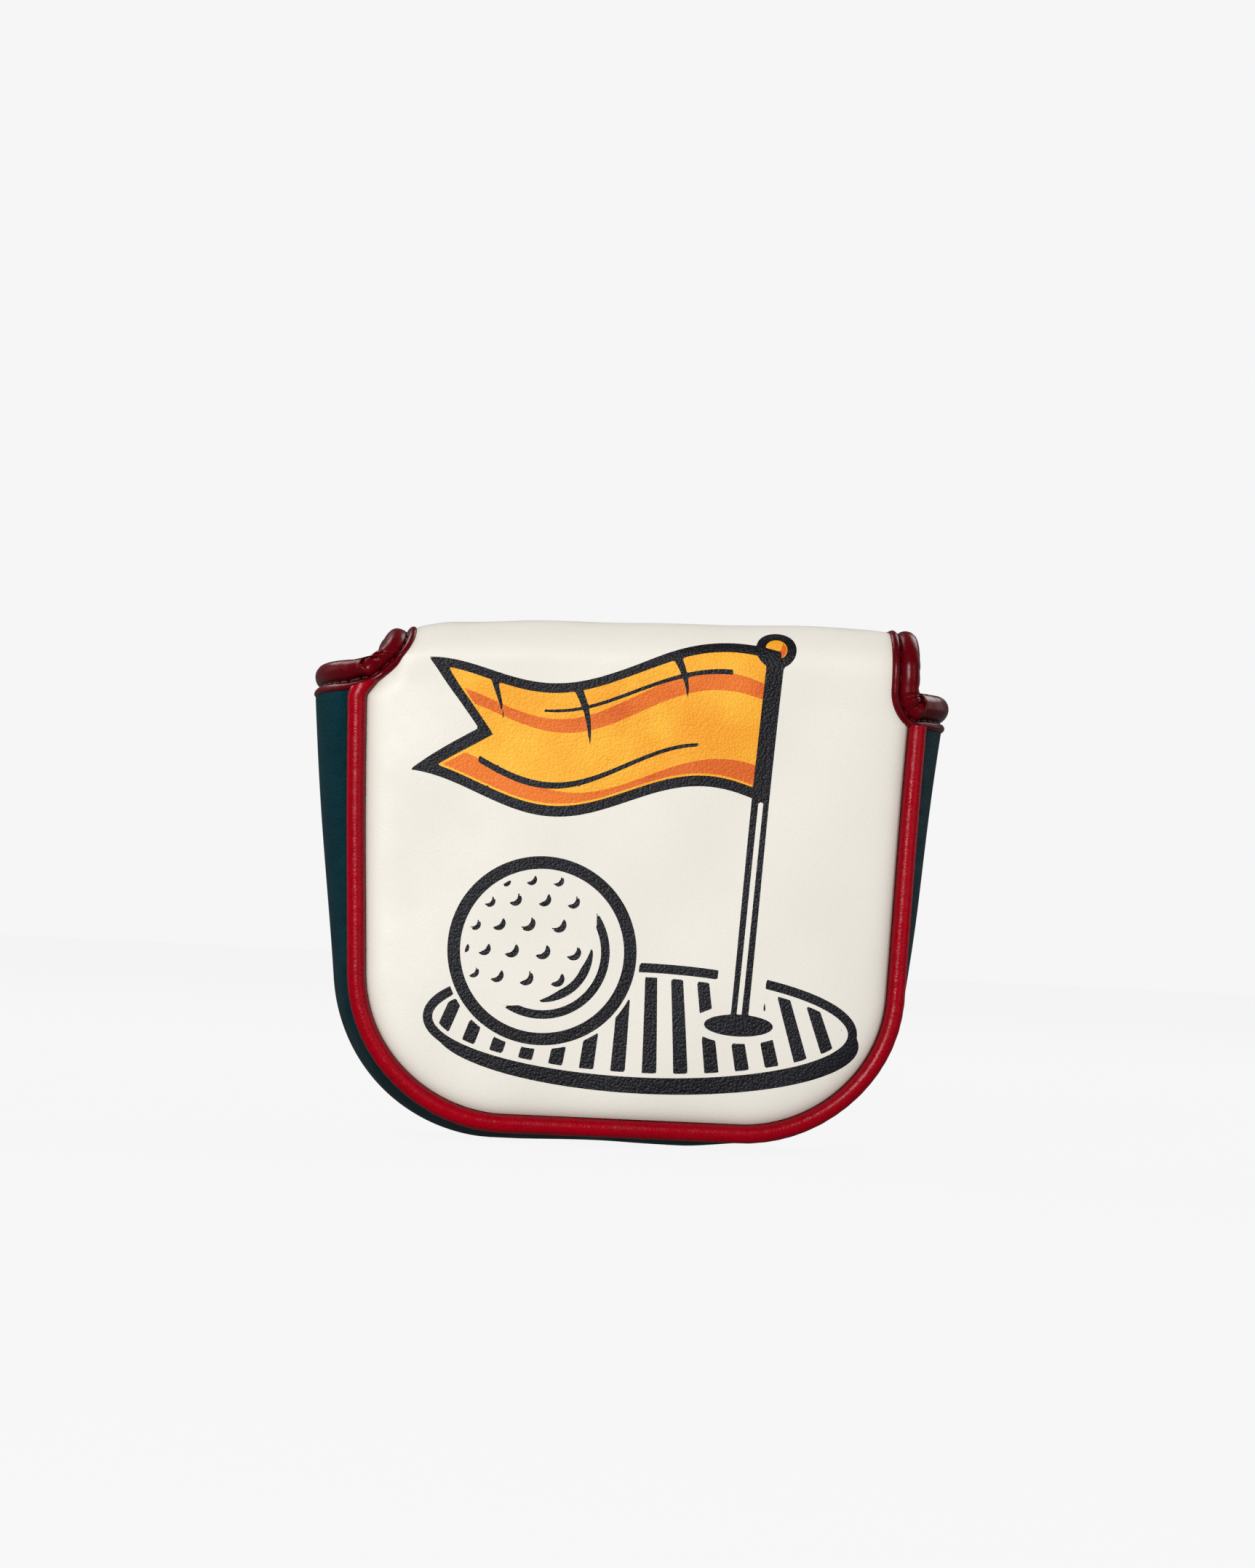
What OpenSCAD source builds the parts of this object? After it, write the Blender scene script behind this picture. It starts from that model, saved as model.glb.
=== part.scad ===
// Mallet putter head cover: a padded leather pouch with a magnetic flap.
// +Z is up, the front faces -Y, X runs left to right seen from the front.
// The origin is under the middle of the pouch, on the surface it stands on.

/* [Pouch] */
// Half width of the front seam at the mouth, at the outside of the piping
seam_mouth_half = 63; // [60:0.5:66]
// Half width of the front seam just above its bottom corners
seam_base_half = 60.5; // [58:0.5:62]
// Height of the lowest point of the seams
seam_bottom = 1; // [0.5:0.5:3]
// Radius of the bottom corners of the seams
seam_corner_r = 35; // [28:1:38]
// Height at which the sides end and the shaft notches begin
mouth_z = 94; // [86:1:98]
// Distance from the middle plane to the front and back seams
seam_y = 20; // [18:0.5:23]
// How far the front panel swells past its seam
front_crown = 3; // [2:0.5:4]
// How far the back panel swells past its seam
back_crown = 1.5; // [1:0.5:2]

/* [Gusset] */
// Half width at the mouth, at the fullest part of the gusset
gusset_mouth_half = 69; // [67:0.5:71]
// Half width just above the bottom corners, at the fullest part
gusset_base_half = 63; // [62:0.5:65]
// Radius of the bottom corners, at the fullest part
gusset_corner_r = 36.5; // [32:0.5:40]
// Half depth of the flat part that the cover stands on
foot_half_depth = 8; // [6:1:10]

/* [Wall] */
// Thickness of the leather
leather_t = 1.2; // [0.9:0.1:1.4]
// Thickness of the foam in the front and back walls
foam_t = 3; // [2.6:0.2:3.4]
// Thickness of the foam in the gusset
gusset_foam_t = 2; // [1.6:0.2:2.4]
// Thickness of the plush lining
lining_t = 1; // [0.8:0.1:1.2]

/* [Piping] */
// Radius of the leather piping in the seams
piping_r = 2; // [1.8:0.1:2.1]
// Radius of the cord inside the piping
piping_cord_r = 1.1; // [0.8:0.1:1.3]

/* [Flap] */
// Height of the flap's top
flap_top_z = 114.5; // [112:0.5:118]
// Half width of the flap's leather between its bindings
flap_half = 54.5; // [52:0.5:55]
// Outer radius of the flap's two folds
fold_r = 10; // [8:0.5:12]
// Thickness of the foam in the flap
flap_foam_t = 1.6; // [1.3:0.1:1.8]
// Height of the flap's lower edge behind the pouch
tail_z = 52; // [45:1:60]
// Gap between the back panel and the closed flap
tail_gap = 1.1; // [1.1:0.1:1.6]
// Radius of the lower corners of the flap
tail_corner_r = 16; // [12:1:20]

/* [Binding] */
// Radius of the padded roll along the mouth
mouth_roll_r = 2.8; // [2.6:0.1:2.9]
// Radius of the padded roll along the flap
flap_roll_r = 2.6; // [2.4:0.1:2.7]
// Radius of the soft filler inside the rolls
filler_r = 1.6; // [1.4:0.1:1.8]
// Radius of the flat lip beside the stitch line
lip_r = 0.95; // [0.8:0.05:1]
// Radius of the stitching thread
thread_r = 0.3; // [0.2:0.05:0.4]

/* [Magnets] */
// Radius of a closure magnet
magnet_r = 7; // [5:0.5:8]
// Thickness of a closure magnet in the back wall
pouch_magnet_t = 2; // [1.5:0.25:2.25]
// Distance of each magnet from the middle of the cover
magnet_x = 24; // [18:1:30]
// Height of the magnets
magnet_z = 66; // [64:1:72]

/* [Hidden] */
$fn = 64;

// Colours
cream = "#EBE6DC";
piping_red = "#A8142A";
binding_red = "#620712";
teal = "#0D3139";
foam_grey = "#C9C9C4";
plush_grey = "#3A3D42";
cord_white = "#E8E4DA";
steel = "#B8BABD";

// Clearance between neighbouring pieces
gap = 0.1;
// Longer than the whole cover
far = 200;
// Segments of the corner arcs: in the outlines, inside the hulls, and at the notches
corner_steps = 20;
hull_steps = 8;
notch_steps = 8;
// Segments of the piping's corners, and sides of its tube
piping_steps = 12;
piping_sides = 12;

// Seams: the cream and back panels end inside the piping
panel_inset = 2 * piping_r + gap;
padding_trim = 0.9;
padding_inset = panel_inset + padding_trim;
// The panel's swollen part starts this far inside its edge
crown_inset = 14;
// The gusset starts just behind the piping
gusset_end_y = seam_y - piping_r - gap;
gusset_seam_inset = 0.3;
// The gusset's rounding: how far out, and how far towards its end, its shoulder lies
shoulder_out = 0.62;
shoulder_place = 0.6;
// The gusset and back wall end just under the mouth's binding
wall_drop = 0.8;
gusset_top = mouth_z - wall_drop;

// Outlines as [half width at the base, half width at the mouth, corner radius, lowest point]
seam_shape = [seam_base_half, seam_mouth_half, seam_corner_r, seam_bottom];
gusset_shape = [gusset_base_half, gusset_mouth_half, gusset_corner_r, 0];

// Wall layers as [near face, far face], counted inward from the outer skin
leather = [0, leather_t];
foam = [leather_t, leather_t + foam_t];
lining = [leather_t + foam_t, leather_t + foam_t + lining_t];
gusset_foam_layer = [leather_t, leather_t + gusset_foam_t];
gusset_lining_layer = [leather_t + gusset_foam_t, leather_t + gusset_foam_t + lining_t];
flap_foam_layer = [leather_t, leather_t + flap_foam_t];
flap_lining_layer = [leather_t + flap_foam_t, leather_t + flap_foam_t + lining_t];
flap_t = leather_t + flap_foam_t + lining_t;

// Outer faces of the walls and of the flap
front_y = -(seam_y + front_crown);
back_y = seam_y + back_crown;
tail_y = back_y + tail_gap + flap_t;
fold_z = flap_top_z - fold_r;
front_fold_y = front_y + fold_r;
rear_fold_y = tail_y - fold_r;
// The flap hinges at the middle of each fold, and a narrow slit parts the pieces there
hinge_angle = 45;
hinge_slit = 0.25;

// Notch corner: the cream panel's edge curves out from the flap's side to the top of the piping
notch_r = 9;
notch_x = flap_half + notch_r;
notch_z = mouth_z + 7;
notch_sweep = 55;

// Flap binding, as [outward from the leather's edge, outward from the skin]
flap_mid = flap_t / 2;
flap_lip = [gap + lip_r, 0];
flap_roll = [3.7, -flap_mid];
flap_web_w = 3;
flap_thread = [2.2, 0.64];

// Mouth binding, as [outward from the gusset's skin, up from mouth_z]
mouth_lip = [0.4, 0.3];
mouth_roll = [-1.6, 4.1];
mouth_web = [4.85, 3.7];
mouth_web_corner = [-4.4, -0.7];
mouth_thread = [0.85, 1.55];
// Along the back wall it sits this much further in, clear of the closed flap
back_set_in = 1.2;
// Seen from above, the mouth's edge is an arc over each gusset
arc_end_inset = 0.6;
arc_drop = gusset_mouth_half - seam_mouth_half + arc_end_inset;
arc_r = (gusset_end_y * gusset_end_y + arc_drop * arc_drop) / (2 * arc_drop);
arc_x = gusset_mouth_half - arc_r;
arc_sweep = asin(gusset_end_y / arc_r);
arc_roll_r = arc_r + mouth_roll[0];
side_roll_x = arc_x + arc_roll_r * cos(arc_sweep);
side_roll_y = arc_roll_r * sin(arc_sweep);
roll_z = mouth_z + mouth_roll[1];

// The rolls meet at the front corners: from the notch's elbow to the arc over the gusset
elbow_r = notch_r - flap_roll[0];
elbow_end = [
    notch_x - elbow_r * cos(notch_sweep),
    front_y + flap_mid,
    notch_z - elbow_r * sin(notch_sweep),
];
arc_start = [side_roll_x, -side_roll_y, roll_z];
link_overlap = 1.2;

// Magnets
tail_magnet_t = flap_foam_t - gap;

// ---- Outlines, drawn as X across and Z up ----

function lean(shape) = atan((shape[1] - shape[0]) / (mouth_z - shape[2]));
function corner_x(shape) = shape[0] - shape[2];
function corner_z(shape) = shape[3] + shape[2];
// Half width of an outline's straight side at height z
function side_x(shape, inset, z) =
    corner_x(shape) + (shape[2] - inset) / cos(lean(shape)) + (z - corner_z(shape)) * tan(lean(shape));
function blend(a, b, t) = a + (b - a) * t;

// The right half of a pouch outline, from its bottom corner up to height top, moved inward by inset
function half_outline(shape, inset, top, steps) =
    let (r = shape[2] - inset, sweep = 90 - lean(shape))
    concat(
        [for (i = [0:steps]) [
            corner_x(shape) + r * sin(sweep * i / steps),
            corner_z(shape) - r * cos(sweep * i / steps),
        ]],
        [[side_x(shape, inset, top), top]]
    );
function reversed(points) = [for (i = [len(points) - 1:-1:0]) points[i]];
// A closed outline from its right half
module symmetric(points) {
    polygon(concat(points, reversed([for (p = points) [-p[0], p[1]]])));
}
module outline(shape, inset, top, steps = corner_steps) {
    symmetric(half_outline(shape, inset, top, steps));
}

// A flat plate with an outline drawn in X and Z, from y0 to y1
module plate(y0, y1) {
    translate([0, y1, 0]) rotate([90, 0, 0]) linear_extrude(height = y1 - y0) children();
}

// The right half of the front wall's edge: the seam outline, the notch's corner and the flap's side.
// Only the leather fills the notch's curved corner; the padding behind it stops square.
function front_half(inset) =
    let (half = flap_half - (inset - panel_inset), start = asin((notch_z - mouth_z) / notch_r))
    concat(
        half_outline(seam_shape, inset, mouth_z, corner_steps),
        inset == panel_inset
            ? [for (i = [0:notch_steps])
                let (angle = start * (1 - i / notch_steps))
                [notch_x - notch_r * cos(angle), notch_z - notch_r * sin(angle)]]
            : [[half, mouth_z]],
        [[half, fold_z]]
    );

// ---- Pouch walls ----

// A crowned block whose outer face is depth d inside the skin; side -1 is the front, 1 the back
module crowned_block(side, crown, d, top) {
    base = seam_y - d;
    swell = [seam_base_half - crown_inset, seam_mouth_half - crown_inset / 2, seam_corner_r - 2, crown_inset];
    block_depth = 8;
    scale([1, side, 1]) hull() {
        plate(base - block_depth, base) outline(seam_shape, panel_inset - 1, top, hull_steps);
        plate(base - 1, base + crown) outline(swell, 0, top, hull_steps);
    }
}

// One layer of the front wall: its crowned face, and the strip that starts the flap's front fold
module front_layer(layer, inset) {
    difference() {
        intersection() {
            crowned_block(-1, front_crown, layer[0], flap_top_z);
            plate(-far, 0) symmetric(front_half(inset));
        }
        crowned_block(-1, front_crown, layer[1], flap_top_z + 1);
    }
    strip_arc(layer, flap_half - (inset - panel_inset), front_fold_y, 180 - hinge_angle + hinge_slit, 180);
}

module back_layer(layer, inset, top) {
    difference() {
        intersection() {
            crowned_block(1, back_crown, layer[0], flap_top_z);
            plate(0, far) outline(seam_shape, inset, top);
        }
        crowned_block(1, back_crown, layer[1], flap_top_z + 1);
    }
}

// A solid with the gusset's outer form, moved inward by inset; its ends pass through when open is true
module gusset_block(inset, top, open) {
    end_shape = seam_shape;
    mid_shape = [
        for (i = [0:3]) blend(seam_shape[i], gusset_shape[i], shoulder_out)
    ];
    mid_y = blend(foot_half_depth, gusset_end_y, shoulder_place);
    end_t = 1;
    hull() {
        for (side = [-1, 1]) {
            translate([0, side * (gusset_end_y - end_t / 2), 0])
                plate(-end_t / 2, end_t / 2) outline(end_shape, gusset_seam_inset + inset, top, hull_steps);
            translate([0, side * mid_y, 0])
                plate(-end_t / 2, end_t / 2) outline(mid_shape, inset, top, hull_steps);
        }
        plate(-foot_half_depth, foot_half_depth) outline(gusset_shape, inset, top, hull_steps);
    }
    if (open) {
        plate(-gusset_end_y - 1, gusset_end_y + 1) outline(end_shape, gusset_seam_inset + inset, top, hull_steps);
    }
}

module gusset_layer(layer) {
    difference() {
        gusset_block(layer[0], gusset_top, false);
        gusset_block(layer[1], gusset_top + 2, true);
    }
}

module front_panel() {
    color(cream) front_layer(leather, panel_inset);
}
module front_foam() {
    color(foam_grey) front_layer(foam, padding_inset);
}
module front_lining() {
    color(plush_grey) front_layer(lining, padding_inset);
}
module back_panel() {
    color(teal) back_layer(leather, panel_inset, gusset_top);
}
module back_foam() {
    color(foam_grey) difference() {
        back_layer(foam, padding_inset, gusset_top);
        for (side = [-1, 1]) {
            magnet_disc(side, 0, far, gap);
        }
    }
}
module back_lining() {
    color(plush_grey) back_layer(lining, padding_inset, gusset_top);
}
module gusset() {
    color(teal) gusset_layer(leather);
}
module gusset_foam() {
    color(foam_grey) gusset_layer(gusset_foam_layer);
}
module gusset_lining() {
    color(plush_grey) gusset_layer(gusset_lining_layer);
}

// ---- Piping ----

// The piping's centre line in X and Z, from the left mouth round the bottom to the right
piping_half = half_outline(seam_shape, piping_r, gusset_top, piping_steps);
piping_path = concat(reversed([for (p = piping_half) [-p[0], p[1]]]), piping_half);

// Direction of a path at point i, and the points of a ring round it
function heading(path, i) =
    let (d = path[min(i + 1, len(path) - 1)] - path[max(i - 1, 0)]) d / norm(d);
function ring_points(path, i, r) =
    let (d = heading(path, i))
    [for (k = [0:piping_sides - 1])
        let (across = r * cos(360 * k / piping_sides), deep = r * sin(360 * k / piping_sides))
        [path[i][0] + across * d[1], deep, path[i][1] - across * d[0]]];
// Faces of a wall between rings that start at point number base
function wall_faces(base, rings, flip) = [
    for (i = [0:rings - 2], k = [0:piping_sides - 1])
        let (
            a = base + i * piping_sides + k,
            b = base + i * piping_sides + (k + 1) % piping_sides,
            face = [a, b, b + piping_sides, a + piping_sides]
        )
        flip ? reversed(face) : face
];
function end_ring_faces(outer, inner, flip) = [
    for (k = [0:piping_sides - 1])
        let (n = (k + 1) % piping_sides, face = [outer + k, inner + k, inner + n, outer + n])
        flip ? reversed(face) : face
];
function end_cap(base, flip) =
    let (face = [for (k = [0:piping_sides - 1]) base + k]) flip ? reversed(face) : face;

// A tube of radius r along a path, with a bore through it
module seam_tube(path, r, bore) {
    rings = len(path);
    count = rings * piping_sides;
    last = (rings - 1) * piping_sides;
    polyhedron(
        points = concat(
            [for (i = [0:rings - 1]) each ring_points(path, i, r)],
            [for (i = [0:rings - 1]) each ring_points(path, i, bore)]
        ),
        faces = concat(
            wall_faces(0, rings, false), wall_faces(count, rings, true),
            end_ring_faces(0, count, false), end_ring_faces(last, count + last, true)
        )
    );
}
module seam_cord(path, r) {
    rings = len(path);
    polyhedron(
        points = [for (i = [0:rings - 1]) each ring_points(path, i, r)],
        faces = concat(
            wall_faces(0, rings, false),
            [end_cap(0, true)], [end_cap((rings - 1) * piping_sides, false)]
        )
    );
}

module front_piping() {
    color(piping_red) translate([0, -seam_y, 0]) seam_tube(piping_path, piping_r, piping_cord_r + gap / 2);
}
module front_piping_cord() {
    color(cord_white) translate([0, -seam_y, 0]) seam_cord(piping_path, piping_cord_r);
}
module back_piping() {
    color(piping_red) translate([0, seam_y, 0]) seam_tube(piping_path, piping_r, piping_cord_r + gap / 2);
}
module back_piping_cord() {
    color(cord_white) translate([0, seam_y, 0]) seam_cord(piping_path, piping_cord_r);
}

// ---- Flap: strips that follow the folds ----

// A curved strip round the X axis, at a fold whose centre is (centre_y, fold_z)
module strip_arc(layer, half, centre_y, from, to) {
    translate([-half, centre_y, fold_z]) rotate([90, 0, 90])
        linear_extrude(height = 2 * half) sector(layer, from, to);
}
// A ring sector drawn in Y and Z, between two angles counted from +Y towards +Z
module sector(layer, from, to) {
    outer = fold_r - layer[0];
    inner = fold_r - layer[1];
    mid = (from + to) / 2;
    reach = 2 * fold_r;
    intersection() {
        difference() {
            circle(r = outer);
            circle(r = inner);
        }
        polygon([
            [0, 0],
            reach * [cos(from), sin(from)],
            reach * [cos(mid), sin(mid)],
            reach * [cos(to), sin(to)],
        ]);
    }
}
module flap_layer(layer, half) {
    strip_arc(layer, half, front_fold_y, 90, 180 - hinge_angle - hinge_slit);
    translate([-half, front_fold_y, flap_top_z - layer[1]])
        cube([2 * half, rear_fold_y - front_fold_y, layer[1] - layer[0]]);
    strip_arc(layer, half, rear_fold_y, hinge_angle + hinge_slit, 90);
}

module flap_panel() {
    color(cream) flap_layer(leather, flap_half);
}
module flap_foam() {
    color(foam_grey) flap_layer(flap_foam_layer, flap_half);
}
module flap_lining() {
    color(plush_grey) flap_layer(flap_lining_layer, flap_half);
}

// ---- Tail ----

module tail_outline(half, bottom) {
    r = tail_corner_r;
    polygon([
        [-half, fold_z], [half, fold_z], [half, bottom + r],
        [half - r, bottom], [-half + r, bottom], [-half, bottom + r],
    ]);
    for (side = [-1, 1]) {
        translate([side * (half - r), bottom + r]) circle(r = r);
    }
}
module tail_layer(layer) {
    strip_arc(layer, flap_half, rear_fold_y, 0, hinge_angle - hinge_slit);
    plate(tail_y - layer[1], tail_y - layer[0]) tail_outline(flap_half, tail_z);
}
module magnet_disc(side, y0, length, extra) {
    translate([side * magnet_x, y0, magnet_z]) rotate([-90, 0, 0]) cylinder(r = magnet_r + extra, h = length);
}

module tail_panel() {
    color(cream) tail_layer(leather);
}
module tail_foam() {
    color(foam_grey) difference() {
        tail_layer(flap_foam_layer);
        for (side = [-1, 1]) {
            magnet_disc(side, tail_y - flap_t, 2 * flap_t, gap);
        }
    }
}
module tail_lining() {
    color(plush_grey) tail_layer(flap_lining_layer);
}
module tail_magnet(side) {
    color(steel) magnet_disc(side, tail_y - leather_t - flap_foam_t + gap / 2, tail_magnet_t, 0);
}
module tail_magnet_left() {
    tail_magnet(-1);
}
module tail_magnet_right() {
    tail_magnet(1);
}
module pouch_magnet(side) {
    color(steel) magnet_disc(side, back_y - leather_t - gap - pouch_magnet_t, pouch_magnet_t, 0);
}
module pouch_magnet_left() {
    pouch_magnet(-1);
}
module pouch_magnet_right() {
    pouch_magnet(1);
}

// ---- Bindings ----
// The flap's binding is drawn with x outward from the leather's edge and y outward from its skin.

module flap_binding_section() {
    translate(flap_roll) circle(r = flap_roll_r);
    translate([gap, -flap_t]) square([flap_web_w, flap_t]);
    translate(flap_lip) circle(r = lip_r);
}
// The mouth's binding is drawn with x outward from the skin and y up.
module mouth_binding_section() {
    translate(mouth_roll) circle(r = mouth_roll_r);
    translate(mouth_web_corner) square(mouth_web);
    translate(mouth_lip) circle(r = lip_r);
}

// Sweeps a flap section along one side's front edge, top edge, fold or tail
module sweep_fold(centre_y, from, to) {
    translate([flap_half, centre_y, fold_z]) rotate([90, 0, 90]) rotate([0, 0, from])
        rotate_extrude(angle = to - from) translate([fold_r, 0]) mirror([1, -1]) children();
}
module sweep_front() {
    translate([flap_half, front_y, notch_z]) linear_extrude(height = fold_z - notch_z) mirror([0, 1]) children();
}
module sweep_top() {
    translate([flap_half, rear_fold_y, flap_top_z]) rotate([90, 0, 0])
        linear_extrude(height = rear_fold_y - front_fold_y) children();
}
module sweep_tail_side() {
    corner_top = tail_z + tail_corner_r;
    translate([flap_half, tail_y, corner_top]) linear_extrude(height = fold_z - corner_top) children();
}
module sweep_tail_corner() {
    r = tail_corner_r;
    translate([flap_half - r, tail_y, tail_z + r]) rotate([90, 0, 0]) rotate([0, 0, -90])
        rotate_extrude(angle = 90) translate([r, 0]) mirror([0, 1]) children();
}
module sweep_tail_bottom() {
    half = flap_half - tail_corner_r;
    translate([-half, tail_y, tail_z]) rotate([90, 0, 90]) linear_extrude(height = 2 * half)
        rotate(-90) children();
}
module sweep_notch() {
    translate([notch_x, front_y, notch_z]) rotate([90, 0, 0]) rotate([0, 0, 180])
        rotate_extrude(angle = notch_sweep) translate([notch_r, 0]) mirror([1, 0]) children();
}
module sweep_mouth_arc() {
    translate([arc_x, 0, mouth_z]) rotate([0, 0, -arc_sweep])
        rotate_extrude(angle = 2 * arc_sweep) translate([arc_r, 0]) children();
}
module sweep_mouth_back() {
    translate([-side_roll_x, back_y - back_set_in, mouth_z]) rotate([90, 0, 90])
        linear_extrude(height = 2 * side_roll_x) children();
}
module both_sides() {
    children();
    mirror([1, 0, 0]) children();
}

// A straight round bar between two points, running on a little past both
module link(a, b, r) {
    v = b - a;
    length = norm(v);
    translate(a) rotate([0, acos(v[2] / length), atan2(v[1], v[0])])
        translate([0, 0, -link_overlap]) cylinder(r = r, h = length + 2 * link_overlap);
}

// One side's upright in front: child 0 is its section
module sweep_upright() {
    sweep_fold(front_fold_y, 180 - hinge_angle + hinge_slit, 180) children();
    sweep_front() children();
    sweep_notch() children();
}
module mouth_filler(r) {
    both_sides() {
        sweep_upright() translate(flap_roll) circle(r = r);
        sweep_mouth_arc() translate(mouth_roll) circle(r = r);
    }
    sweep_mouth_back() translate(mouth_roll) circle(r = r);
}
module mouth_binding() {
    color(binding_red) difference() {
        union() {
            both_sides() {
                sweep_upright() flap_binding_section();
                sweep_mouth_arc() mouth_binding_section();
                link(elbow_end, arc_start, flap_roll_r);
            }
            sweep_mouth_back() mouth_binding_section();
        }
        mouth_filler(filler_r + gap / 2);
    }
}
module mouth_binding_filler() {
    color(foam_grey) mouth_filler(filler_r);
}
module mouth_stitching() {
    color(binding_red) {
        both_sides() {
            sweep_upright() translate(flap_thread) circle(r = thread_r);
            sweep_mouth_arc() translate(mouth_thread) circle(r = thread_r);
        }
        sweep_mouth_back() translate(mouth_thread) circle(r = thread_r);
    }
}

// One side of the flap's binding, between the two hinges
module sweep_flap_side() {
    sweep_fold(front_fold_y, 90, 180 - hinge_angle - hinge_slit) children();
    sweep_top() children();
    sweep_fold(rear_fold_y, hinge_angle + hinge_slit, 90) children();
}
module flap_binding() {
    color(binding_red) sweep_flap_side() difference() {
        flap_binding_section();
        translate(flap_roll) circle(r = filler_r + gap / 2);
    }
}
module flap_filler() {
    color(foam_grey) sweep_flap_side() translate(flap_roll) circle(r = filler_r);
}
module flap_binding_left() {
    mirror([1, 0, 0]) flap_binding();
}
module flap_binding_right() {
    flap_binding();
}
module flap_filler_left() {
    mirror([1, 0, 0]) flap_filler();
}
module flap_filler_right() {
    flap_filler();
}
module flap_stitching() {
    color(binding_red) both_sides() sweep_flap_side() translate(flap_thread) circle(r = thread_r);
}

module sweep_tail() {
    both_sides() {
        sweep_fold(rear_fold_y, 0, hinge_angle - hinge_slit) children();
        sweep_tail_side() children();
        sweep_tail_corner() children();
    }
    sweep_tail_bottom() children();
}
module tail_binding() {
    color(binding_red) sweep_tail() difference() {
        flap_binding_section();
        translate(flap_roll) circle(r = filler_r + gap / 2);
    }
}
module tail_filler() {
    color(foam_grey) sweep_tail() translate(flap_roll) circle(r = filler_r);
}
module tail_stitching() {
    color(binding_red) sweep_tail() translate(flap_thread) circle(r = thread_r);
}

front_panel();
front_foam();
front_lining();
back_panel();
back_foam();
back_lining();
gusset();
gusset_foam();
gusset_lining();
front_piping();
front_piping_cord();
back_piping();
back_piping_cord();
mouth_binding();
mouth_binding_filler();
mouth_stitching();
pouch_magnet_left();
pouch_magnet_right();
flap_panel();
flap_foam();
flap_lining();
flap_binding_left();
flap_binding_right();
flap_filler_left();
flap_filler_right();
flap_stitching();
tail_panel();
tail_foam();
tail_lining();
tail_binding();
tail_filler();
tail_stitching();
tail_magnet_left();
tail_magnet_right();
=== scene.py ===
import math

import bpy
import numpy as np
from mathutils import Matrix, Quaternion, Vector


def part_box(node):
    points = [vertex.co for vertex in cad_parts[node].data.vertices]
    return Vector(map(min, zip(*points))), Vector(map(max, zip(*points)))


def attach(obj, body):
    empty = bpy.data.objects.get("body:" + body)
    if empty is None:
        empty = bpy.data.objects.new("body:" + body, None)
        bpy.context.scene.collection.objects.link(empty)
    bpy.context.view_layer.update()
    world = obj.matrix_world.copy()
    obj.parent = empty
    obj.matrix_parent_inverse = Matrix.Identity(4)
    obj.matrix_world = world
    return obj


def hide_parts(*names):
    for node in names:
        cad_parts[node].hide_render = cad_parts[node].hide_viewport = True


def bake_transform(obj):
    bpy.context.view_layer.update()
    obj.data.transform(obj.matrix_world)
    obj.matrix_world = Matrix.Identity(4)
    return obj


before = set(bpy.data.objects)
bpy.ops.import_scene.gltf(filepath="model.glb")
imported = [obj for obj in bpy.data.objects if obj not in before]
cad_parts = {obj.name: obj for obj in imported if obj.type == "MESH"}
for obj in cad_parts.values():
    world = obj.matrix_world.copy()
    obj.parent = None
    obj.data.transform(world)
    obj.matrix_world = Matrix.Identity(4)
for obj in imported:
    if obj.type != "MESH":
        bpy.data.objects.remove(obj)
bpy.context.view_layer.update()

# Shapes are worked out in millimetres, in the CAD frame, and written to Blender in metres.
MM = 0.001


# ---- sizes, from the frame

def span(node):
    """A CAD node's two corners in millimetres."""
    low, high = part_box(node)
    return np.array(low) / MM, np.array(high) / MM


front_low, _ = span("front_panel")
_, back_high = span("back_panel")
_, flap_high = span("flap_panel")
_, gusset_high = span("gusset")
tail_low, tail_high = span("tail_panel")
piping_low, piping_high = span("front_piping")
magnet_low, magnet_high = span("tail_magnet_right")
cord_low, cord_high = span("front_piping_cord")

FRONT_Y = front_low[1]
BACK_Y = back_high[1]
TAIL_Y = tail_high[1]
FLAP_TOP = flap_high[2]
FLAP_HALF = flap_high[0]
TAIL_END = tail_low[2]
SEAM_Y = -(piping_low[1] + piping_high[1]) / 2
PIPING_R = (piping_high[1] - piping_low[1]) / 2
SEAM_BOTTOM = piping_low[2]
GUSSET_END = gusset_high[1]
WALL_TOP = gusset_high[2]
MAGNET_X = (magnet_low[0] + magnet_high[0]) / 2
MAGNET_Z = (magnet_low[2] + magnet_high[2]) / 2
MAGNET_R = (magnet_high[0] - magnet_low[0]) / 2
CORD_R = (cord_high[1] - cord_low[1]) / 2

# The CAD's other driving dimensions, which no box gives
SEAM_BASE_HALF = 60.5
SEAM_MOUTH_HALF = 63.0
SEAM_CORNER_R = 35.0
GUSSET_BASE_HALF = 63.0
GUSSET_MOUTH_HALF = 69.0
GUSSET_CORNER_R = 36.5
FOLD_R = 10.0
TAIL_CORNER_R = 16.0
NOTCH_R = 9.0
NOTCH_RISE = 7.0
WALL_DROP = 0.8
LEATHER_T = 1.2
FOAM_T = 3.0
GUSSET_FOAM_T = 2.0
FLAP_FOAM_T = 1.6
LINING_T = 1.0
LAYER_GAP = 0.02

MOUTH_Z = WALL_TOP + WALL_DROP
FOLD_Z = FLAP_TOP - FOLD_R
FRONT_FOLD_Y = FRONT_Y + FOLD_R
REAR_FOLD_Y = TAIL_Y - FOLD_R
NOTCH_X = FLAP_HALF + NOTCH_R
NOTCH_Z = MOUTH_Z + NOTCH_RISE
PANEL_INSET = 2 * PIPING_R + 0.1
PADDING_TRIM = 0.9
FLAP_T = LEATHER_T + FLAP_FOAM_T + LINING_T

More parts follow.
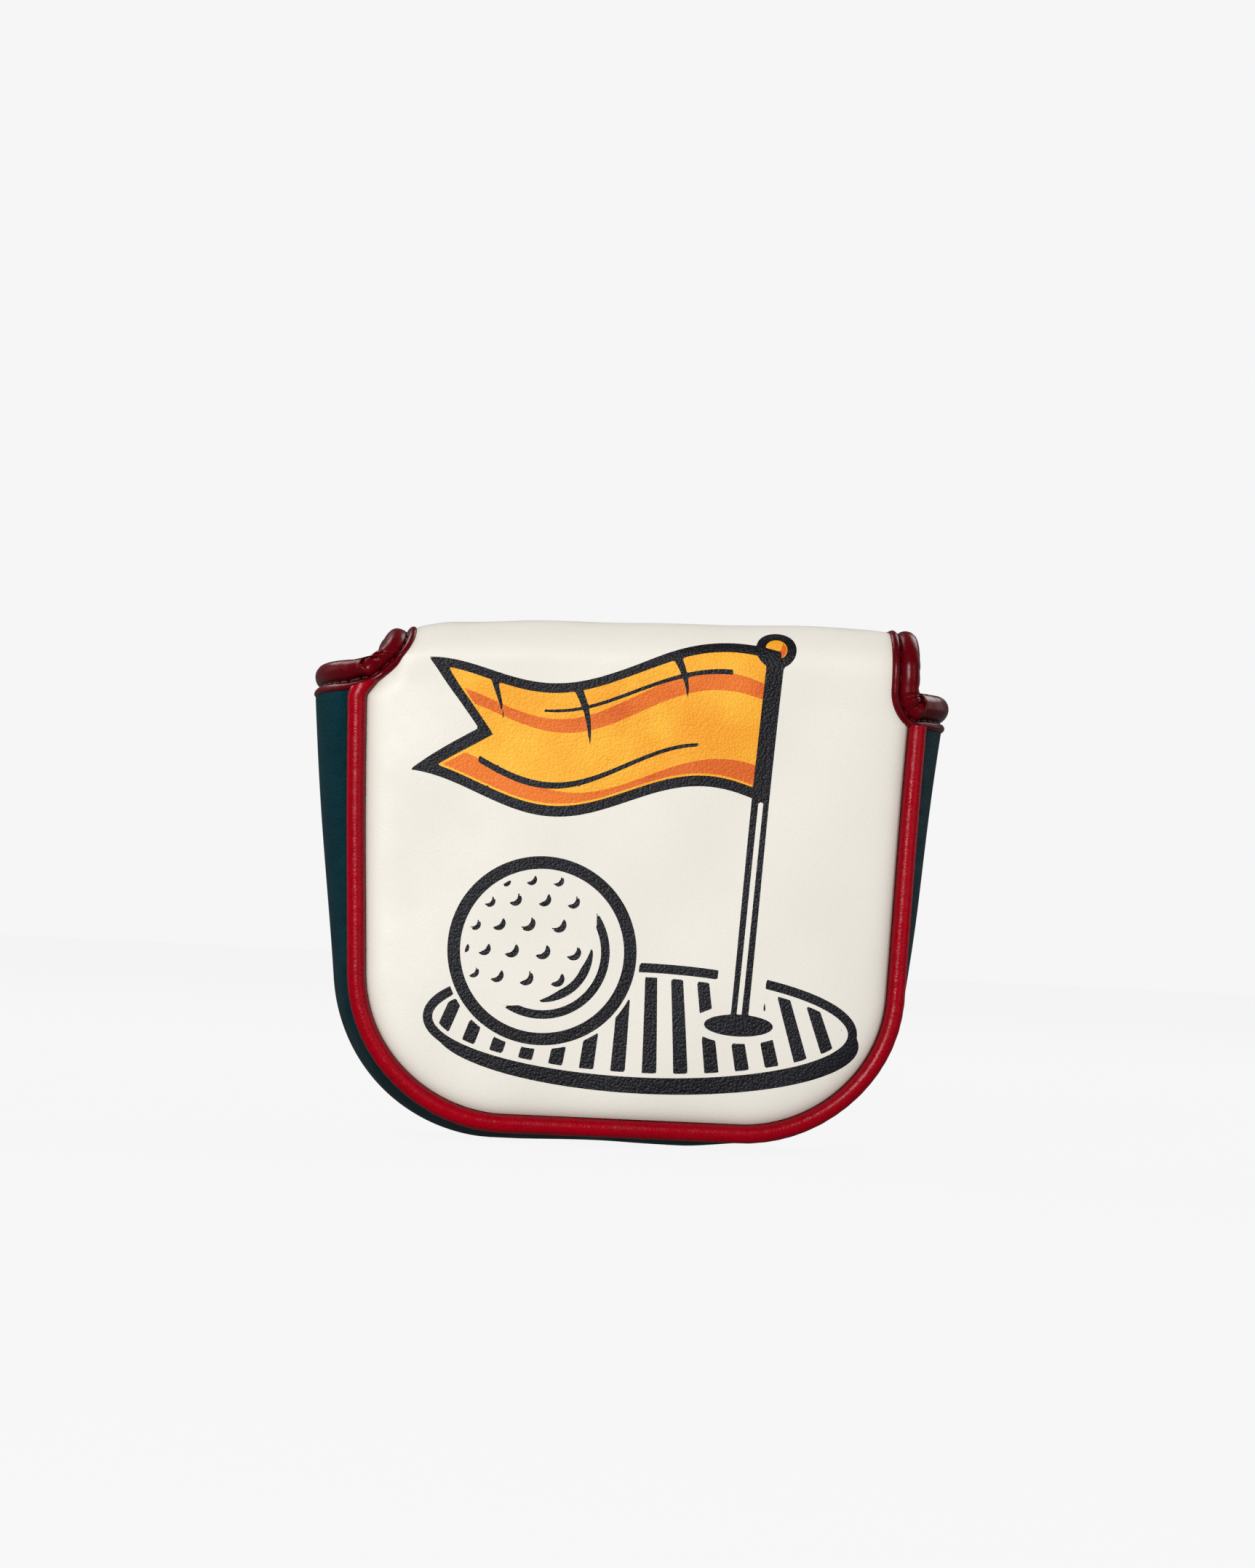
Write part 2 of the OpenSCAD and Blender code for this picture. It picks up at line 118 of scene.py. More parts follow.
# Distances along the long cream sheet: up the front (where they equal the height), over the top and
# down the tail
AT_FOLD = FOLD_Z
AT_TOP = AT_FOLD + FOLD_R * math.pi / 2
AT_REAR = AT_TOP + REAR_FOLD_Y - FRONT_FOLD_Y
AT_TAIL = AT_REAR + FOLD_R * math.pi / 2
AT_END = AT_TAIL + FOLD_Z - TAIL_END
AT_MIDDLE = (AT_TOP + AT_REAR) / 2


# ---- small helpers

def ramp(x, low, high):
    """0 below low, 1 above high, smooth between."""
    t = np.clip((np.asarray(x, float) - low) / (high - low), 0, 1)
    return t * t * (3 - 2 * t)


def unit(v):
    return v / np.maximum(np.linalg.norm(v, axis=-1, keepdims=True), 1e-9)


def steps(a, b, size):
    """Evenly spaced values from a to b, about size apart, both ends included."""
    return np.linspace(a, b, max(2, int(round(abs(b - a) / size)) + 1))


def ripple(s, seed, lengths=(2.7, 3.9, 5.6)):
    """A smooth irregular wave along s, between about -1 and 1."""
    total = 0.0
    for i, length in enumerate(lengths):
        total = total + np.sin(2 * np.pi * s / length + seed * (i + 1.7))
    return total / len(lengths)


# ---- the pouch's outlines

class Outline:
    """A pouch outline in X and Z: round bottom corners and sides that lean out towards the mouth."""

    def __init__(self, base_half, mouth_half, corner_r, bottom):
        self.r = corner_r
        self.cx = base_half - corner_r
        self.cz = bottom + corner_r
        self.bottom = bottom
        self.lean = math.atan((mouth_half - base_half) / (MOUTH_Z - corner_r))

    def half(self, z, inset):
        """Half width at height z, moved inward by inset."""
        r = self.r - inset
        z = np.asarray(z, float)
        side = self.cx + r / math.cos(self.lean) + (z - self.cz) * math.tan(self.lean)
        corner = self.cx + np.sqrt(np.clip(r * r - (self.cz - z) ** 2, 0, None))
        return np.where(z > self.cz - r * math.sin(self.lean), side, corner)

    def inside(self, x, z, inset):
        """Distance from the outline to points inside it."""
        r = self.r - inset
        across = np.abs(x) - self.cx - np.clip(z - self.cz, 0, None) * math.tan(self.lean)
        down = self.cz - z
        outside = np.hypot(np.clip(across, 0, None), np.clip(down, 0, None))
        return r - outside - np.minimum(np.maximum(across, down), 0)

    def walk(self, place, top, inset=0.0):
        """Points and outward normals.

        place runs from -3 to 3: mouth, corner, bottom, and up again on the other side."""
        side = np.where(place < 0, -1.0, 1.0)
        p = np.abs(place)
        r = self.r - inset
        turn = np.clip(p - 1, 0, 1) * (math.pi / 2 - self.lean)
        x = np.minimum(p, 1) * self.cx + r * np.sin(turn)
        z = self.cz - r * np.cos(turn)
        rise = np.clip(p - 2, 0, 1) * (top - (self.cz - r * math.sin(self.lean)))
        x = x + rise * math.tan(self.lean)
        z = z + rise
        return side * x, z, side * np.sin(turn), -np.cos(turn)


seam = Outline(SEAM_BASE_HALF, SEAM_MOUTH_HALF, SEAM_CORNER_R, SEAM_BOTTOM)
full = Outline(GUSSET_BASE_HALF, GUSSET_MOUTH_HALF, GUSSET_CORNER_R, 0.0)


def even_places(spacing, top):
    """Places along the seam outline that lie evenly apart."""
    fine = np.linspace(-3, 3, 1201)
    x, z, _, _ = seam.walk(fine, top)
    along = np.concatenate([[0], np.cumsum(np.hypot(np.diff(x), np.diff(z)))])
    return np.interp(steps(0, along[-1], spacing), along, fine), along[-1]


# ---- the long cream sheet

def profile(s):
    """Side view of the sheet at distance s: Y, Z, and the outward normal in Y and Z."""
    s = np.asarray(s, float)
    front_turn = np.clip((s - AT_FOLD) / FOLD_R, 0, math.pi / 2)
    rear_turn = np.clip((s - AT_REAR) / FOLD_R, 0, math.pi / 2)
    turn = front_turn + rear_turn
    over_top = np.clip(s - AT_TOP, 0, AT_REAR - AT_TOP)
    y = FRONT_FOLD_Y - FOLD_R * np.cos(front_turn) + over_top + FOLD_R * np.sin(rear_turn)
    z = np.minimum(s, AT_FOLD) + FOLD_R * np.sin(front_turn)
    z = z - FOLD_R * (1 - np.cos(rear_turn)) - np.clip(s - AT_TAIL, 0, None)
    return y, z, -np.cos(turn), np.sin(turn)


def sheet_half(s, inset=PANEL_INSET):
    """Half width of the sheet's leather at distance s."""
    s = np.asarray(s, float)
    trim = inset - PANEL_INSET
    side = seam.half(s, inset)
    below_notch = NOTCH_Z - np.clip(s, None, NOTCH_Z)
    notch = NOTCH_X - np.sqrt(np.clip(NOTCH_R ** 2 - below_notch ** 2, 0, None)) - trim
    half = np.where(s < MOUTH_Z, side, notch)
    tail = FLAP_HALF - TAIL_CORNER_R + np.sqrt(
        np.clip(TAIL_CORNER_R ** 2 - np.clip(s - AT_END + TAIL_CORNER_R, 0, None) ** 2, 0, None)
    )
    return np.where(s > AT_END - TAIL_CORNER_R, tail, half)


def swell(d):
    """How far a stuffed panel has risen at distance d from its seam, from 0 to 1."""
    return 0.64 * (1 - np.exp(-d / 2.0)) + 0.36 * (1 - np.exp(-d / 15.0))


FRONT_CROWN = -FRONT_Y - SEAM_Y
# The back wall lies a little lower than in the CAD, so that the closed flap's binding rests clear of it
BACK_CLEARANCE = 0.3
BACK_CROWN = BACK_Y - SEAM_Y - BACK_CLEARANCE
PUFF = 0.5
EDGE_DIP = 0.5
# How far from a seam the painted shade reaches, in millimetres
PAINTED_SHADE_REACH = 0.8


def unevenness(x, s):
    """The slight waviness of stuffed leather."""
    wave = np.sin(0.105 * x + 0.9) * np.sin(0.083 * s + 0.4)
    return 0.16 * wave + 0.10 * np.sin(0.21 * x - 0.12 * s + 2.0)


def sheet_lift(x, s):
    """Height of the sheet's skin over the profile: sunk into the seams, puffed in the middle."""
    z_front = np.minimum(s, AT_FOLD)
    in_front = 1 - ramp(s, MOUTH_Z + 1, AT_FOLD)
    seam_depth = swell(np.clip(seam.inside(x, z_front, PANEL_INSET), 0, None))
    from_edge = np.clip(sheet_half(np.clip(s, MOUTH_Z + 1, None)) - np.abs(x), 0, None)
    edge_dip = EDGE_DIP * np.exp(-from_edge / 2.4)
    lift = -(FRONT_CROWN * (1 - seam_depth)) * in_front - edge_dip * (1 - in_front)
    lift = lift + PUFF * (1 - (np.abs(x) / FLAP_HALF).clip(0, 1) ** 2)
    for side in (-1, 1):
        from_magnet = np.hypot(x - side * MAGNET_X, s - (AT_END - (MAGNET_Z - TAIL_END)))
        lift = lift + 0.3 * (1 - ramp(from_magnet, MAGNET_R - 0.8, MAGNET_R + 1.6))
    return lift + unevenness(x, s)


def sheet_point(x, s, depth=0.0):
    """Points of the cream sheet, depth inside its skin."""
    y, z, ny, nz = profile(s)
    lift = sheet_lift(x, s) - depth
    return np.stack(np.broadcast_arrays(x, y + ny * lift, z + nz * lift), -1)


# ---- how the soft cover settles

# The flap's top
TOP_SAG = 1.6
TOP_TILT = 1.9
# The flap's left edge: drawn in, dropped, and its roll hanging lower still
LEFT_TUCK = 6.0
LEFT_DROP = 1.0
LEFT_ROLL_HANG = 2.4
# The left end of the mouth's roll, and the end of the front seam beside it
LEFT_ROLL_RISE = 1.3
LEFT_SEAM_PULL = 4.4
LEFT_SEAM_LEAN = 3.0
# The lower half: how far the front seam's bottom rides up, and how far everything leans to the right.
# Each fades out over the depths and heights given.
FRONT_SEAM_RISE = 0.6
FRONT_SEAM_DEPTHS = (8, 17)
FRONT_SEAM_HEIGHTS = (6, 30)
LOWER_LEAN = 0.6
LOWER_LEAN_HEIGHTS = (15, MOUTH_Z - 10)


def settle(p):
    """The cover sits a little askew.

    The flap's top sags and rises to the right. Its left edge is drawn in, and that pulls the end of the
    left front seam up and inwards, with the mouth's roll beside it. The front seam's bottom rides up,
    and the lower half stands a little to the right."""
    p = np.array(p, float)
    x, y, z = p[..., 0], p[..., 1], p[..., 2]
    high = ramp(z, MOUTH_Z + 1, FLAP_TOP)
    left = ramp(-x, 5, FLAP_HALF)
    corner = LEFT_DROP * ramp(-x, FLAP_HALF - 9, FLAP_HALF + 3)
    corner = corner + LEFT_ROLL_HANG * ramp(-x, FLAP_HALF - 1, FLAP_HALF + 8)
    roll = ramp(z, MOUTH_Z + 1, MOUTH_Z + 6) * ramp(-x, FLAP_HALF + 2, seam.cx + seam.r)
    near_mouth = ramp(z, MOUTH_Z - 30, MOUTH_Z + 1) * (1 - ramp(z, MOUTH_Z + 2, MOUTH_Z + 15))
    near_seam = ramp(-x, FLAP_HALF - 4, FLAP_HALF + 3) - 0.6 * ramp(-x, FLAP_HALF + 3, FLAP_HALF + 10)
    pull = near_mouth * near_seam * (0.5 + 0.5 * (1 - ramp(y, FRONT_Y + 5, 2)))
    p[..., 2] = z + high * (TOP_TILT * np.clip(x / FLAP_HALF, -1, 1) - TOP_SAG - corner)
    p[..., 2] += LEFT_ROLL_RISE * roll + LEFT_SEAM_PULL * pull
    p[..., 2] += FRONT_SEAM_RISE * ramp(-y, *FRONT_SEAM_DEPTHS) * (1 - ramp(z, *FRONT_SEAM_HEIGHTS))
    above_wall = ramp(p[..., 2], WALL_TOP + 0.3, WALL_TOP + 5)
    p[..., 0] = x + LEFT_TUCK * high * left + LEFT_SEAM_LEAN * pull * above_wall
    p[..., 0] += LOWER_LEAN * (1 - ramp(z, *LOWER_LEAN_HEIGHTS))
    return p


# ---- meshes

SHARP_FROM = math.radians(55)


def make_mesh(name, points, faces, material, painted_shade=None):
    """A mesh piece from points in millimetres, settled and written in metres.

    The last argument, when given, is painted shade: how much each point is darkened, from 0 to 1, where it
    runs into a seam, groove or edge."""
    mesh = bpy.data.meshes.new(name)
    mesh.from_pydata((settle(points) * MM).tolist(), [], faces)
    mesh.update()
    mesh.polygons.foreach_set("use_smooth", [True] * len(mesh.polygons))
    mesh.set_sharp_from_angle(angle=SHARP_FROM)
    if painted_shade is not None:
        values = mesh.attributes.new("painted_shade", "FLOAT", "POINT")
        values.data.foreach_set("value", np.broadcast_to(painted_shade, len(points)).astype(float).tolist())
    mesh.materials.append(material)
    piece = bpy.data.objects.new(name, mesh)
    bpy.context.scene.collection.objects.link(piece)
    return piece


def grid_faces(rows, columns, base, flip=False):
    """Faces of a grid of points."""
    faces = []
    for i in range(rows - 1):
        for j in range(columns - 1):
            a = base + i * columns + j
            quad = (a, a + 1, a + columns + 1, a + columns)
            faces.append(quad[::-1] if flip else quad)
    return faces


def shell(name, outer, inner, material, flip=False, painted_shade=None):
    """A closed sheet between two grids of points of the same size."""
    rows, columns, _ = outer.shape
    count = rows * columns
    faces = grid_faces(rows, columns, 0, flip) + grid_faces(rows, columns, count, not flip)
    rim = [(i, 0) for i in range(rows)] + [(rows - 1, j) for j in range(1, columns)]
    rim += [(i, columns - 1) for i in range(rows - 2, -1, -1)]
    rim += [(0, j) for j in range(columns - 2, 0, -1)]
    for k, (i, j) in enumerate(rim):
        i2, j2 = rim[(k + 1) % len(rim)]
        a = i * columns + j
        b = i2 * columns + j2
        quad = (a, b, b + count, a + count)
        faces.append(quad[::-1] if flip else quad)
    points = np.concatenate([outer.reshape(-1, 3), inner.reshape(-1, 3)])
    if painted_shade is not None:
        painted_shade = np.tile(np.broadcast_to(painted_shade, (rows, columns)).ravel(), 2)
    return make_mesh(name, points, faces, material, painted_shade)


def wall_faces(count, sides, base, flip):
    """Faces between neighbouring rings of a bar."""
    faces = []
    for i in range(count - 1):
        for k in range(sides):
            a = base + i * sides + k
            b = base + i * sides + (k + 1) % sides
            quad = (a, b, b + sides, a + sides)
            faces.append(quad[::-1] if flip else quad)
    return faces


def bars(name, bar_list, material):
    """Separate solid bars as one piece. Each is an array of rings of points."""
    points, faces, base = [], [], 0
    for rings in bar_list:
        count, sides, _ = rings.shape
        last = base + (count - 1) * sides
        faces += wall_faces(count, sides, base, False)
        faces.append(tuple(base + k for k in range(sides - 1, -1, -1)))
        faces.append(tuple(last + k for k in range(sides)))
        points.append(rings.reshape(-1, 3))
        base += count * sides
    return make_mesh(name, np.concatenate(points), faces, material)


def tube(name, rings, bore, material, painted_shade):
    """A tube between the rings of its outer wall and those of its bore."""
    count, sides, _ = rings.shape
    last = (count - 1) * sides
    inner = count * sides
    faces = wall_faces(count, sides, 0, False) + wall_faces(count, sides, inner, True)
    for k in range(sides):
        n = (k + 1) % sides
        faces.append((k, inner + k, inner + n, n))
        faces.append((last + k, last + n, inner + last + n, inner + last + k))
    points = np.concatenate([rings.reshape(-1, 3), bore.reshape(-1, 3)])
    return make_mesh(name, points, faces, material, np.tile(painted_shade, 2 * count))


# ---- the cover's walls

def sheet_rows(first, last):
    """Distances along the sheet, close together round its corners."""
    lowest = SEAM_BOTTOM + PANEL_INSET
    r = seam.r - PANEL_INSET
    corner = seam.cz - r * np.cos(steps(0, math.pi / 2, 1.4 / r))
    tail_turn = steps(0, math.pi / 2, 1.0 / TAIL_CORNER_R)
    tail_corner = AT_END - TAIL_CORNER_R + TAIL_CORNER_R * np.sin(tail_turn)
    rows = np.concatenate([
        corner,
        steps(seam.cz, MOUTH_Z - 1, 1.4),
        steps(MOUTH_Z - 0.4, NOTCH_Z, 0.6),
        steps(NOTCH_Z, AT_MIDDLE, 0.9),
        steps(AT_MIDDLE, AT_END - TAIL_CORNER_R, 0.9),
        tail_corner,
    ])
    rows = rows[(rows > first + 0.2) & (rows < last - 0.2) & (rows > lowest)]
    return np.unique(np.round(np.concatenate([[max(first, lowest)], rows, [last]]), 4))


def across(columns):
    """Places across a sheet from -1 to 1, closer together at the edges."""
    t = np.linspace(-1, 1, columns)
    return 0.62 * t + 0.38 * np.sin(t * math.pi / 2)


def foam_depth(s):
    """Thickness of the padding: full in the front wall, thinner in the flap."""
    return FOAM_T + (FLAP_FOAM_T - FOAM_T) * ramp(s, MOUTH_Z - 6, AT_FOLD)


def sheet_piece(name, first, last, top_depth, bottom_depth, trim, material):
    """One layer of the cream sheet, from first to last along it and from top_depth to bottom_depth in it."""
    s = sheet_rows(first, last)[:, None]
    if trim:
        s = np.clip(s, SEAM_BOTTOM + PANEL_INSET + trim, None if last < AT_END else AT_END - trim)
    x = across(110)[None, :] * np.maximum(sheet_half(s, PANEL_INSET + trim), 0.5)
    s = np.broadcast_to(s, x.shape)
    in_front = 1 - ramp(s, MOUTH_Z + 1, AT_FOLD)
    from_seam = seam.inside(x, np.minimum(s, AT_FOLD), PANEL_INSET)
    # Painted shade: darker where the front wall runs into its seam, and towards the sheet's edges under the
    # binding.
    painted_shade = in_front * np.exp(-np.clip(from_seam, 0, None) / PAINTED_SHADE_REACH)
    painted_shade = np.maximum(painted_shade, 0.6 * np.exp(-(sheet_half(s) - np.abs(x)).clip(0, None) / PAINTED_SHADE_REACH))
    top = sheet_point(x, s, top_depth(s))
    bottom = sheet_point(x, s, bottom_depth(s))
    return shell(name, top, bottom, material, painted_shade=painted_shade)


def at(depth):
    return lambda s: np.full_like(s, depth)


def below_foam(extra):
    return lambda s: LEATHER_T + foam_depth(s) + extra


# How far the back wall's top is drawn in by the binding
MOUTH_SET_IN = 1.2


def back_point(x, z, depth=0.0):
    """Points of the back wall, depth inside its skin."""
    risen = swell(np.clip(seam.inside(x, z, PANEL_INSET), 0, None))
    set_in = MOUTH_SET_IN * ramp(z, MOUTH_Z - 16, MOUTH_Z) * ramp(seam.inside(x, z, PANEL_INSET), 0, 6)
    y = SEAM_Y + BACK_CROWN * risen - set_in + 0.5 * unevenness(x + 30, z) - depth
    return np.stack(np.broadcast_arrays(x, y, z), -1)


def back_piece(name, top_depth, bottom_depth, trim, material):
    rows = sheet_rows(0, MOUTH_Z)
    z = np.concatenate([rows[rows < WALL_TOP - 0.3], [WALL_TOP]])[:, None]
    z = np.clip(z, SEAM_BOTTOM + PANEL_INSET + trim, None)
    x = across(100)[None, :] * np.maximum(seam.half(z, PANEL_INSET + trim), 0.5)
    z = np.broadcast_to(z, x.shape)
    # Painted shade: darker where the back wall runs into its seam.
    painted_shade = np.exp(-seam.inside(x, z, PANEL_INSET).clip(0, None) / PAINTED_SHADE_REACH)
    top = back_point(x, z, top_depth)
    bottom = back_point(x, z, bottom_depth)
    return shell(name, top, bottom, material, flip=True, painted_shade=painted_shade)


# ---- the gusset

GUSSET_SEAM_INSET = 0.3
# About the gusset's length round the pouch, for the spacing of its gathers
GUSSET_LENGTH = 270.0


def gusset_bulge(v):
    """How far the gusset has swollen from its seams (0) to its full outline (1). v runs from -1 to 1."""
    return 1 - np.abs(v) ** 2.6


def gusset_point(place, v, depth=0.0, gathers=1.0):
    """Points of the gusset's skin. place runs round the pouch, v from the front seam to the back seam."""
    sx, sz, nx, nz = seam.walk(place, WALL_TOP, GUSSET_SEAM_INSET)
    fx, fz, _, _ = full.walk(place, WALL_TOP)
    out = gusset_bulge(v)
    along = place * GUSSET_LENGTH / 6
    near_seam = np.exp(-(1 - np.abs(v)) * GUSSET_END / 2.4) * (1 - np.abs(v) ** 12)
    gather = -0.42 * gathers * near_seam * (0.6 + ripple(along + 7 * np.sign(v), 1.3 + np.sign(v)))
    slack = 0.22 * gathers * np.sin(along / 11.0 + 1.9 * v) * out
    slack = slack - 1.3 * out * ramp(place, 0.5, 1.2) * (1 - ramp(place, 1.6, 2.4))
    lift = gather + slack - depth
    x = sx + (fx - sx) * out + nx * lift
    z = sz + (fz - sz) * out + nz * lift
    z = np.where(np.abs(place) > 2.999, WALL_TOP, np.maximum(z, depth))
    return np.stack(np.broadcast_arrays(x, v * GUSSET_END, z), -1)


def gusset_piece(name, top_depth, bottom_depth, material):
    place, _ = even_places(1.0, WALL_TOP)
    v = across(46)[None, :]
    place = np.broadcast_to(place[:, None], (len(place), v.shape[1]))
    outer = gusset_point(place, v, top_depth, math.exp(-top_depth))
    inner = gusset_point(place, v, bottom_depth, math.exp(-bottom_depth))
    # The leather is darkened towards both seams as painted shade.
    return shell(name, outer, inner, material, painted_shade=np.exp(-(1 - np.abs(v)) * GUSSET_END / PAINTED_SHADE_REACH))


# ---- the piping

def around(sides):
    """Evenly spaced angles round a ring."""
    return np.arange(sides) * 2 * math.pi / sides


def tube_rings(centres, across_dir, deep_dir, r, sides):
    """Rings of radius r round a line of centres."""
    turn = around(sides)
    r = np.broadcast_to(r, (len(centres), sides))
    return centres[:, None] + r[..., None] * (
        np.cos(turn)[None, :, None] * across_dir[:, None] + np.sin(turn)[None, :, None] * deep_dir[:, None]
    )


# How far the piping's ends run up under the binding
PIPING_TUCKED = 0.6
PIPING_SIDES = 24


def piping_piece(name, side, material):
    """Leather wrapped round the seam cord, its ends tucked under the binding.

    side is -1 for the front seam and 1 for the back."""
    top = WALL_TOP + PIPING_TUCKED
    place, length = even_places(0.8, top)
    x, z, nx, nz = seam.walk(place, top, PIPING_R)
    along = np.linspace(0, length, len(place))
    centres = np.stack([x, np.full_like(x, side * SEAM_Y), z], -1)
    outward = np.stack([nx, np.zeros_like(x), nz], -1)
    deep = np.broadcast_to([0.0, 1.0, 0.0], outward.shape)
    turn = around(PIPING_SIDES)
    r = PIPING_R + 0.02 + 0.022 * ripple(along, 2.1 + side)[:, None]
    r = r + 0.018 * np.sin(along[:, None] * 1.9 + 3 * np.sin(turn)[None, :])
    taper = 0.15 * (1 + side)
    r = r * (1 - taper * ramp(np.abs(along - length / 2), length / 2 - 5, length / 2)[:, None])
    outer = tube_rings(centres, outward, deep, r, PIPING_SIDES)
    inner = tube_rings(centres, outward, deep, CORD_R + 0.05, PIPING_SIDES)
    # Painted shade on the side of the piping that faces into the seam.
    panel_side_shade = (0.5 - 0.5 * np.cos(turn)) ** 4
    return tube(name, outer, inner, material, panel_side_shade)


# ---- the binding

LIP_R = 0.93
LIP_DEPTH = 0.35
ROLL_R = 2.35
MOUTH_ROLL_R = 2.95
THREAD_R = 0.25
FILLER_R = 1.6
STITCH_PITCH = 3.0
STITCH_GAP = 0.8
STITCH_DEPTH = 0.22
NOTCH_SWEEP = math.radians(52)
# Where the flap's binding ends and the mouth's begins, as a distance along the sheet
SPLIT = FOLD_Z - 4.6
# The stiffness of the binding's two bends over the piping, and where the rear one ends on the back wall
FRONT_CORNER_REACH = 7.5
REAR_CORNER_REACH = 7.0
REAR_CORNER_END = 55.5


def roll_radius(mouth):
    return ROLL_R + (MOUTH_ROLL_R - ROLL_R) * mouth


def roll_centre(mouth):
    return np.array([4.05 + 0.95 * mouth, -1.7 + 0.1 * mouth])


def groove_place(mouth):
    """Where the stitched groove lies, midway between the lip and the roll."""
    return (2 * LIP_R + roll_centre(mouth)[0] - roll_radius(mouth)) / 2


def binding_section(mouth, wall):
    """The binding's outline as [outward from the edge, outward from the skin].

    mouth is 0 for the flap's narrow roll and 1 for the mouth's thick one; wall is the wall's thickness.
    In order: outer lip, stitched groove, padded roll, inner groove, and the inner lip under the lining."""
    centre = roll_centre(mouth)
    r = roll_radius(mouth)
    under = -wall - 0.04

    def arc(middle, across, up, start, end, count):
        a = np.radians(np.linspace(start, end, count))
        return np.stack([middle[0] + across * np.cos(a), middle[1] + up * np.sin(a)], -1)

    points = np.concatenate([
        arc([LIP_R + 0.04, -LIP_DEPTH], LIP_R, LIP_R, 200, -12, 9),
        [[groove_place(mouth), -LIP_DEPTH - 0.8]],
        arc(centre, r, r, 146, -140, 22),
        [[1.6, under - 0.15]],
        arc([0.2, under - 0.45], 1.25, 0.45, 0, -180, 7),
        [[0.06, under]],
    ])
    return points[::-1]


def bridge(t, start, leaving, end, arriving):
    """Points of a smooth curve from start to end, with its headings at both ends. t runs from 0 to 1."""
    curve = (2 * t**3 - 3 * t**2 + 1) * start + (t**3 - 2 * t**2 + t) * leaving
    return curve + (3 * t**2 - 2 * t**3) * end + (t**3 - t**2) * arriving


def edge_path():
    """Right half of the bound edge, from the tail's middle to the back wall's middle.

    Gives points on the edge of the skin, the direction outward from the edge, the skin's normal,
    how much of the mouth's section applies, the distance along the sheet (negative past the notch),
    and the wall's thickness."""
    parts = []

    def add(o, a, n, mouth, s, wall=None):
        if wall is None:
            wall = LEATHER_T + foam_depth(np.array(s, float)) + LINING_T
        vectors = [np.array(o, float), unit(np.array(a, float)), unit(np.array(n, float))]
        parts.append(vectors + [np.broadcast_to(np.array(v, float), (len(o),)) for v in (mouth, s, wall)])

    # Tail: bottom edge and corner
    size = 0.8
    corner_x = FLAP_HALF - TAIL_CORNER_R
    x = steps(0, corner_x, size)
    flat = np.ones_like(x)
    add(edge_skin(x, AT_END * flat), [[0, 0, -1]] * len(x), [[0, 1, 0]] * len(x), 0, AT_END)
    a = steps(-math.pi / 2, 0, size / TAIL_CORNER_R)[1:]
    s = AT_END - TAIL_CORNER_R - TAIL_CORNER_R * np.sin(a)
    out = np.stack([np.cos(a), 0 * a, np.sin(a)], -1)
    add(edge_skin(corner_x + TAIL_CORNER_R * np.cos(a), s), out, [[0, 1, 0]] * len(a), 0, s)
    # Straight side: up the tail, over the top, down to the notch
    s = steps(AT_END - TAIL_CORNER_R, NOTCH_Z, size)[1:]
    _, _, ny, nz = profile(s)
    normal = np.stack([0 * s, ny, nz], -1)
    add(edge_skin(FLAP_HALF + 0 * s, s), [[1, 0, 0]] * len(s), normal, 0, s)
    # Notch
    a = steps(0, NOTCH_SWEEP, 0.5 / NOTCH_R)[1:]
    s = NOTCH_Z - NOTCH_R * np.sin(a)
    x = NOTCH_X - NOTCH_R * np.cos(a)
    out = np.stack([np.cos(a), 0 * a, np.sin(a)], -1)
    add(edge_skin(x, s), out, [[0, -1, 0]] * len(a), 0.0, s)
    # Round the top of the piping to the gusset
    start, start_out = parts[-1][0][-1], parts[-1][1][-1]
    v, arc_points, arc_normals = mouth_arc()
    t = np.linspace(0, 1, 16)[1:-1, None]
    leaving = np.array([math.sin(NOTCH_SWEEP), 0, -math.cos(NOTCH_SWEEP)]) * FRONT_CORNER_REACH
    arriving = unit(arc_points[1] - arc_points[0]) * FRONT_CORNER_REACH
    o = bridge(t, start, leaving, arc_points[0], arriving)
    turn = ramp(t, 0, 1)
    a = unit(start_out * (1 - turn) + np.array([0, 0, 1]) * turn)
    n = unit(np.array([0, -1, 0]) * (1 - turn) + arc_normals[0] * turn)
    front_wall = LEATHER_T + FOAM_T + LINING_T
    gusset_wall = LEATHER_T + GUSSET_FOAM_T + LINING_T
    turn = turn[:, 0]
    add(o, a, n, turn, -1, front_wall + (gusset_wall - front_wall) * turn)
    # Over the gusset
    add(arc_points, [[0, 0, 1]] * len(v), arc_normals, 1, -1, gusset_wall)
    # Round the back piping to the back wall
    end = back_point(np.array([REAR_CORNER_END]), np.array([WALL_TOP]))[0]
    leaving = unit(arc_points[-1] - arc_points[-2]) * REAR_CORNER_REACH
    o = bridge(t, arc_points[-1], leaving, end, np.array([-REAR_CORNER_REACH, 0, 0]))
    n = unit(arc_normals[-1] * (1 - turn[:, None]) + np.array([0, 1, 0]) * turn[:, None])
    add(o, [[0, 0, 1]] * len(o), n, 1 - 0.3 * turn, -1, gusset_wall + (front_wall - gusset_wall) * turn)
    # Along the back wall
    x = steps(end[0], 0, size)
    add(back_point(x, WALL_TOP + 0 * x), [[0, 0, 1]] * len(x), [[0, 1, 0]] * len(x), 0.7, -1, front_wall)
    return [np.concatenate([part[i] for part in parts]) for i in range(len(parts[0]))]


def edge_skin(x, s):
    """Points on the sheet's edge, where the binding's lip lies."""
    y, z, ny, nz = profile(s)
    lift = sheet_lift(np.minimum(x, sheet_half(s) - 0.01), s)
    return np.stack([x, y + ny * lift, z + nz * lift], -1)


def mouth_arc():
    """The gusset's top edge from front to back on the right, with its outward normals."""
    v = np.linspace(-1, 1, 49)
    points = gusset_point(np.full_like(v, 3.0), v, 0, 0.3)
    heading = unit(np.gradient(points, axis=0))
    normals = np.stack([heading[:, 1], -heading[:, 0], 0 * v], -1)
    return v, points, normals


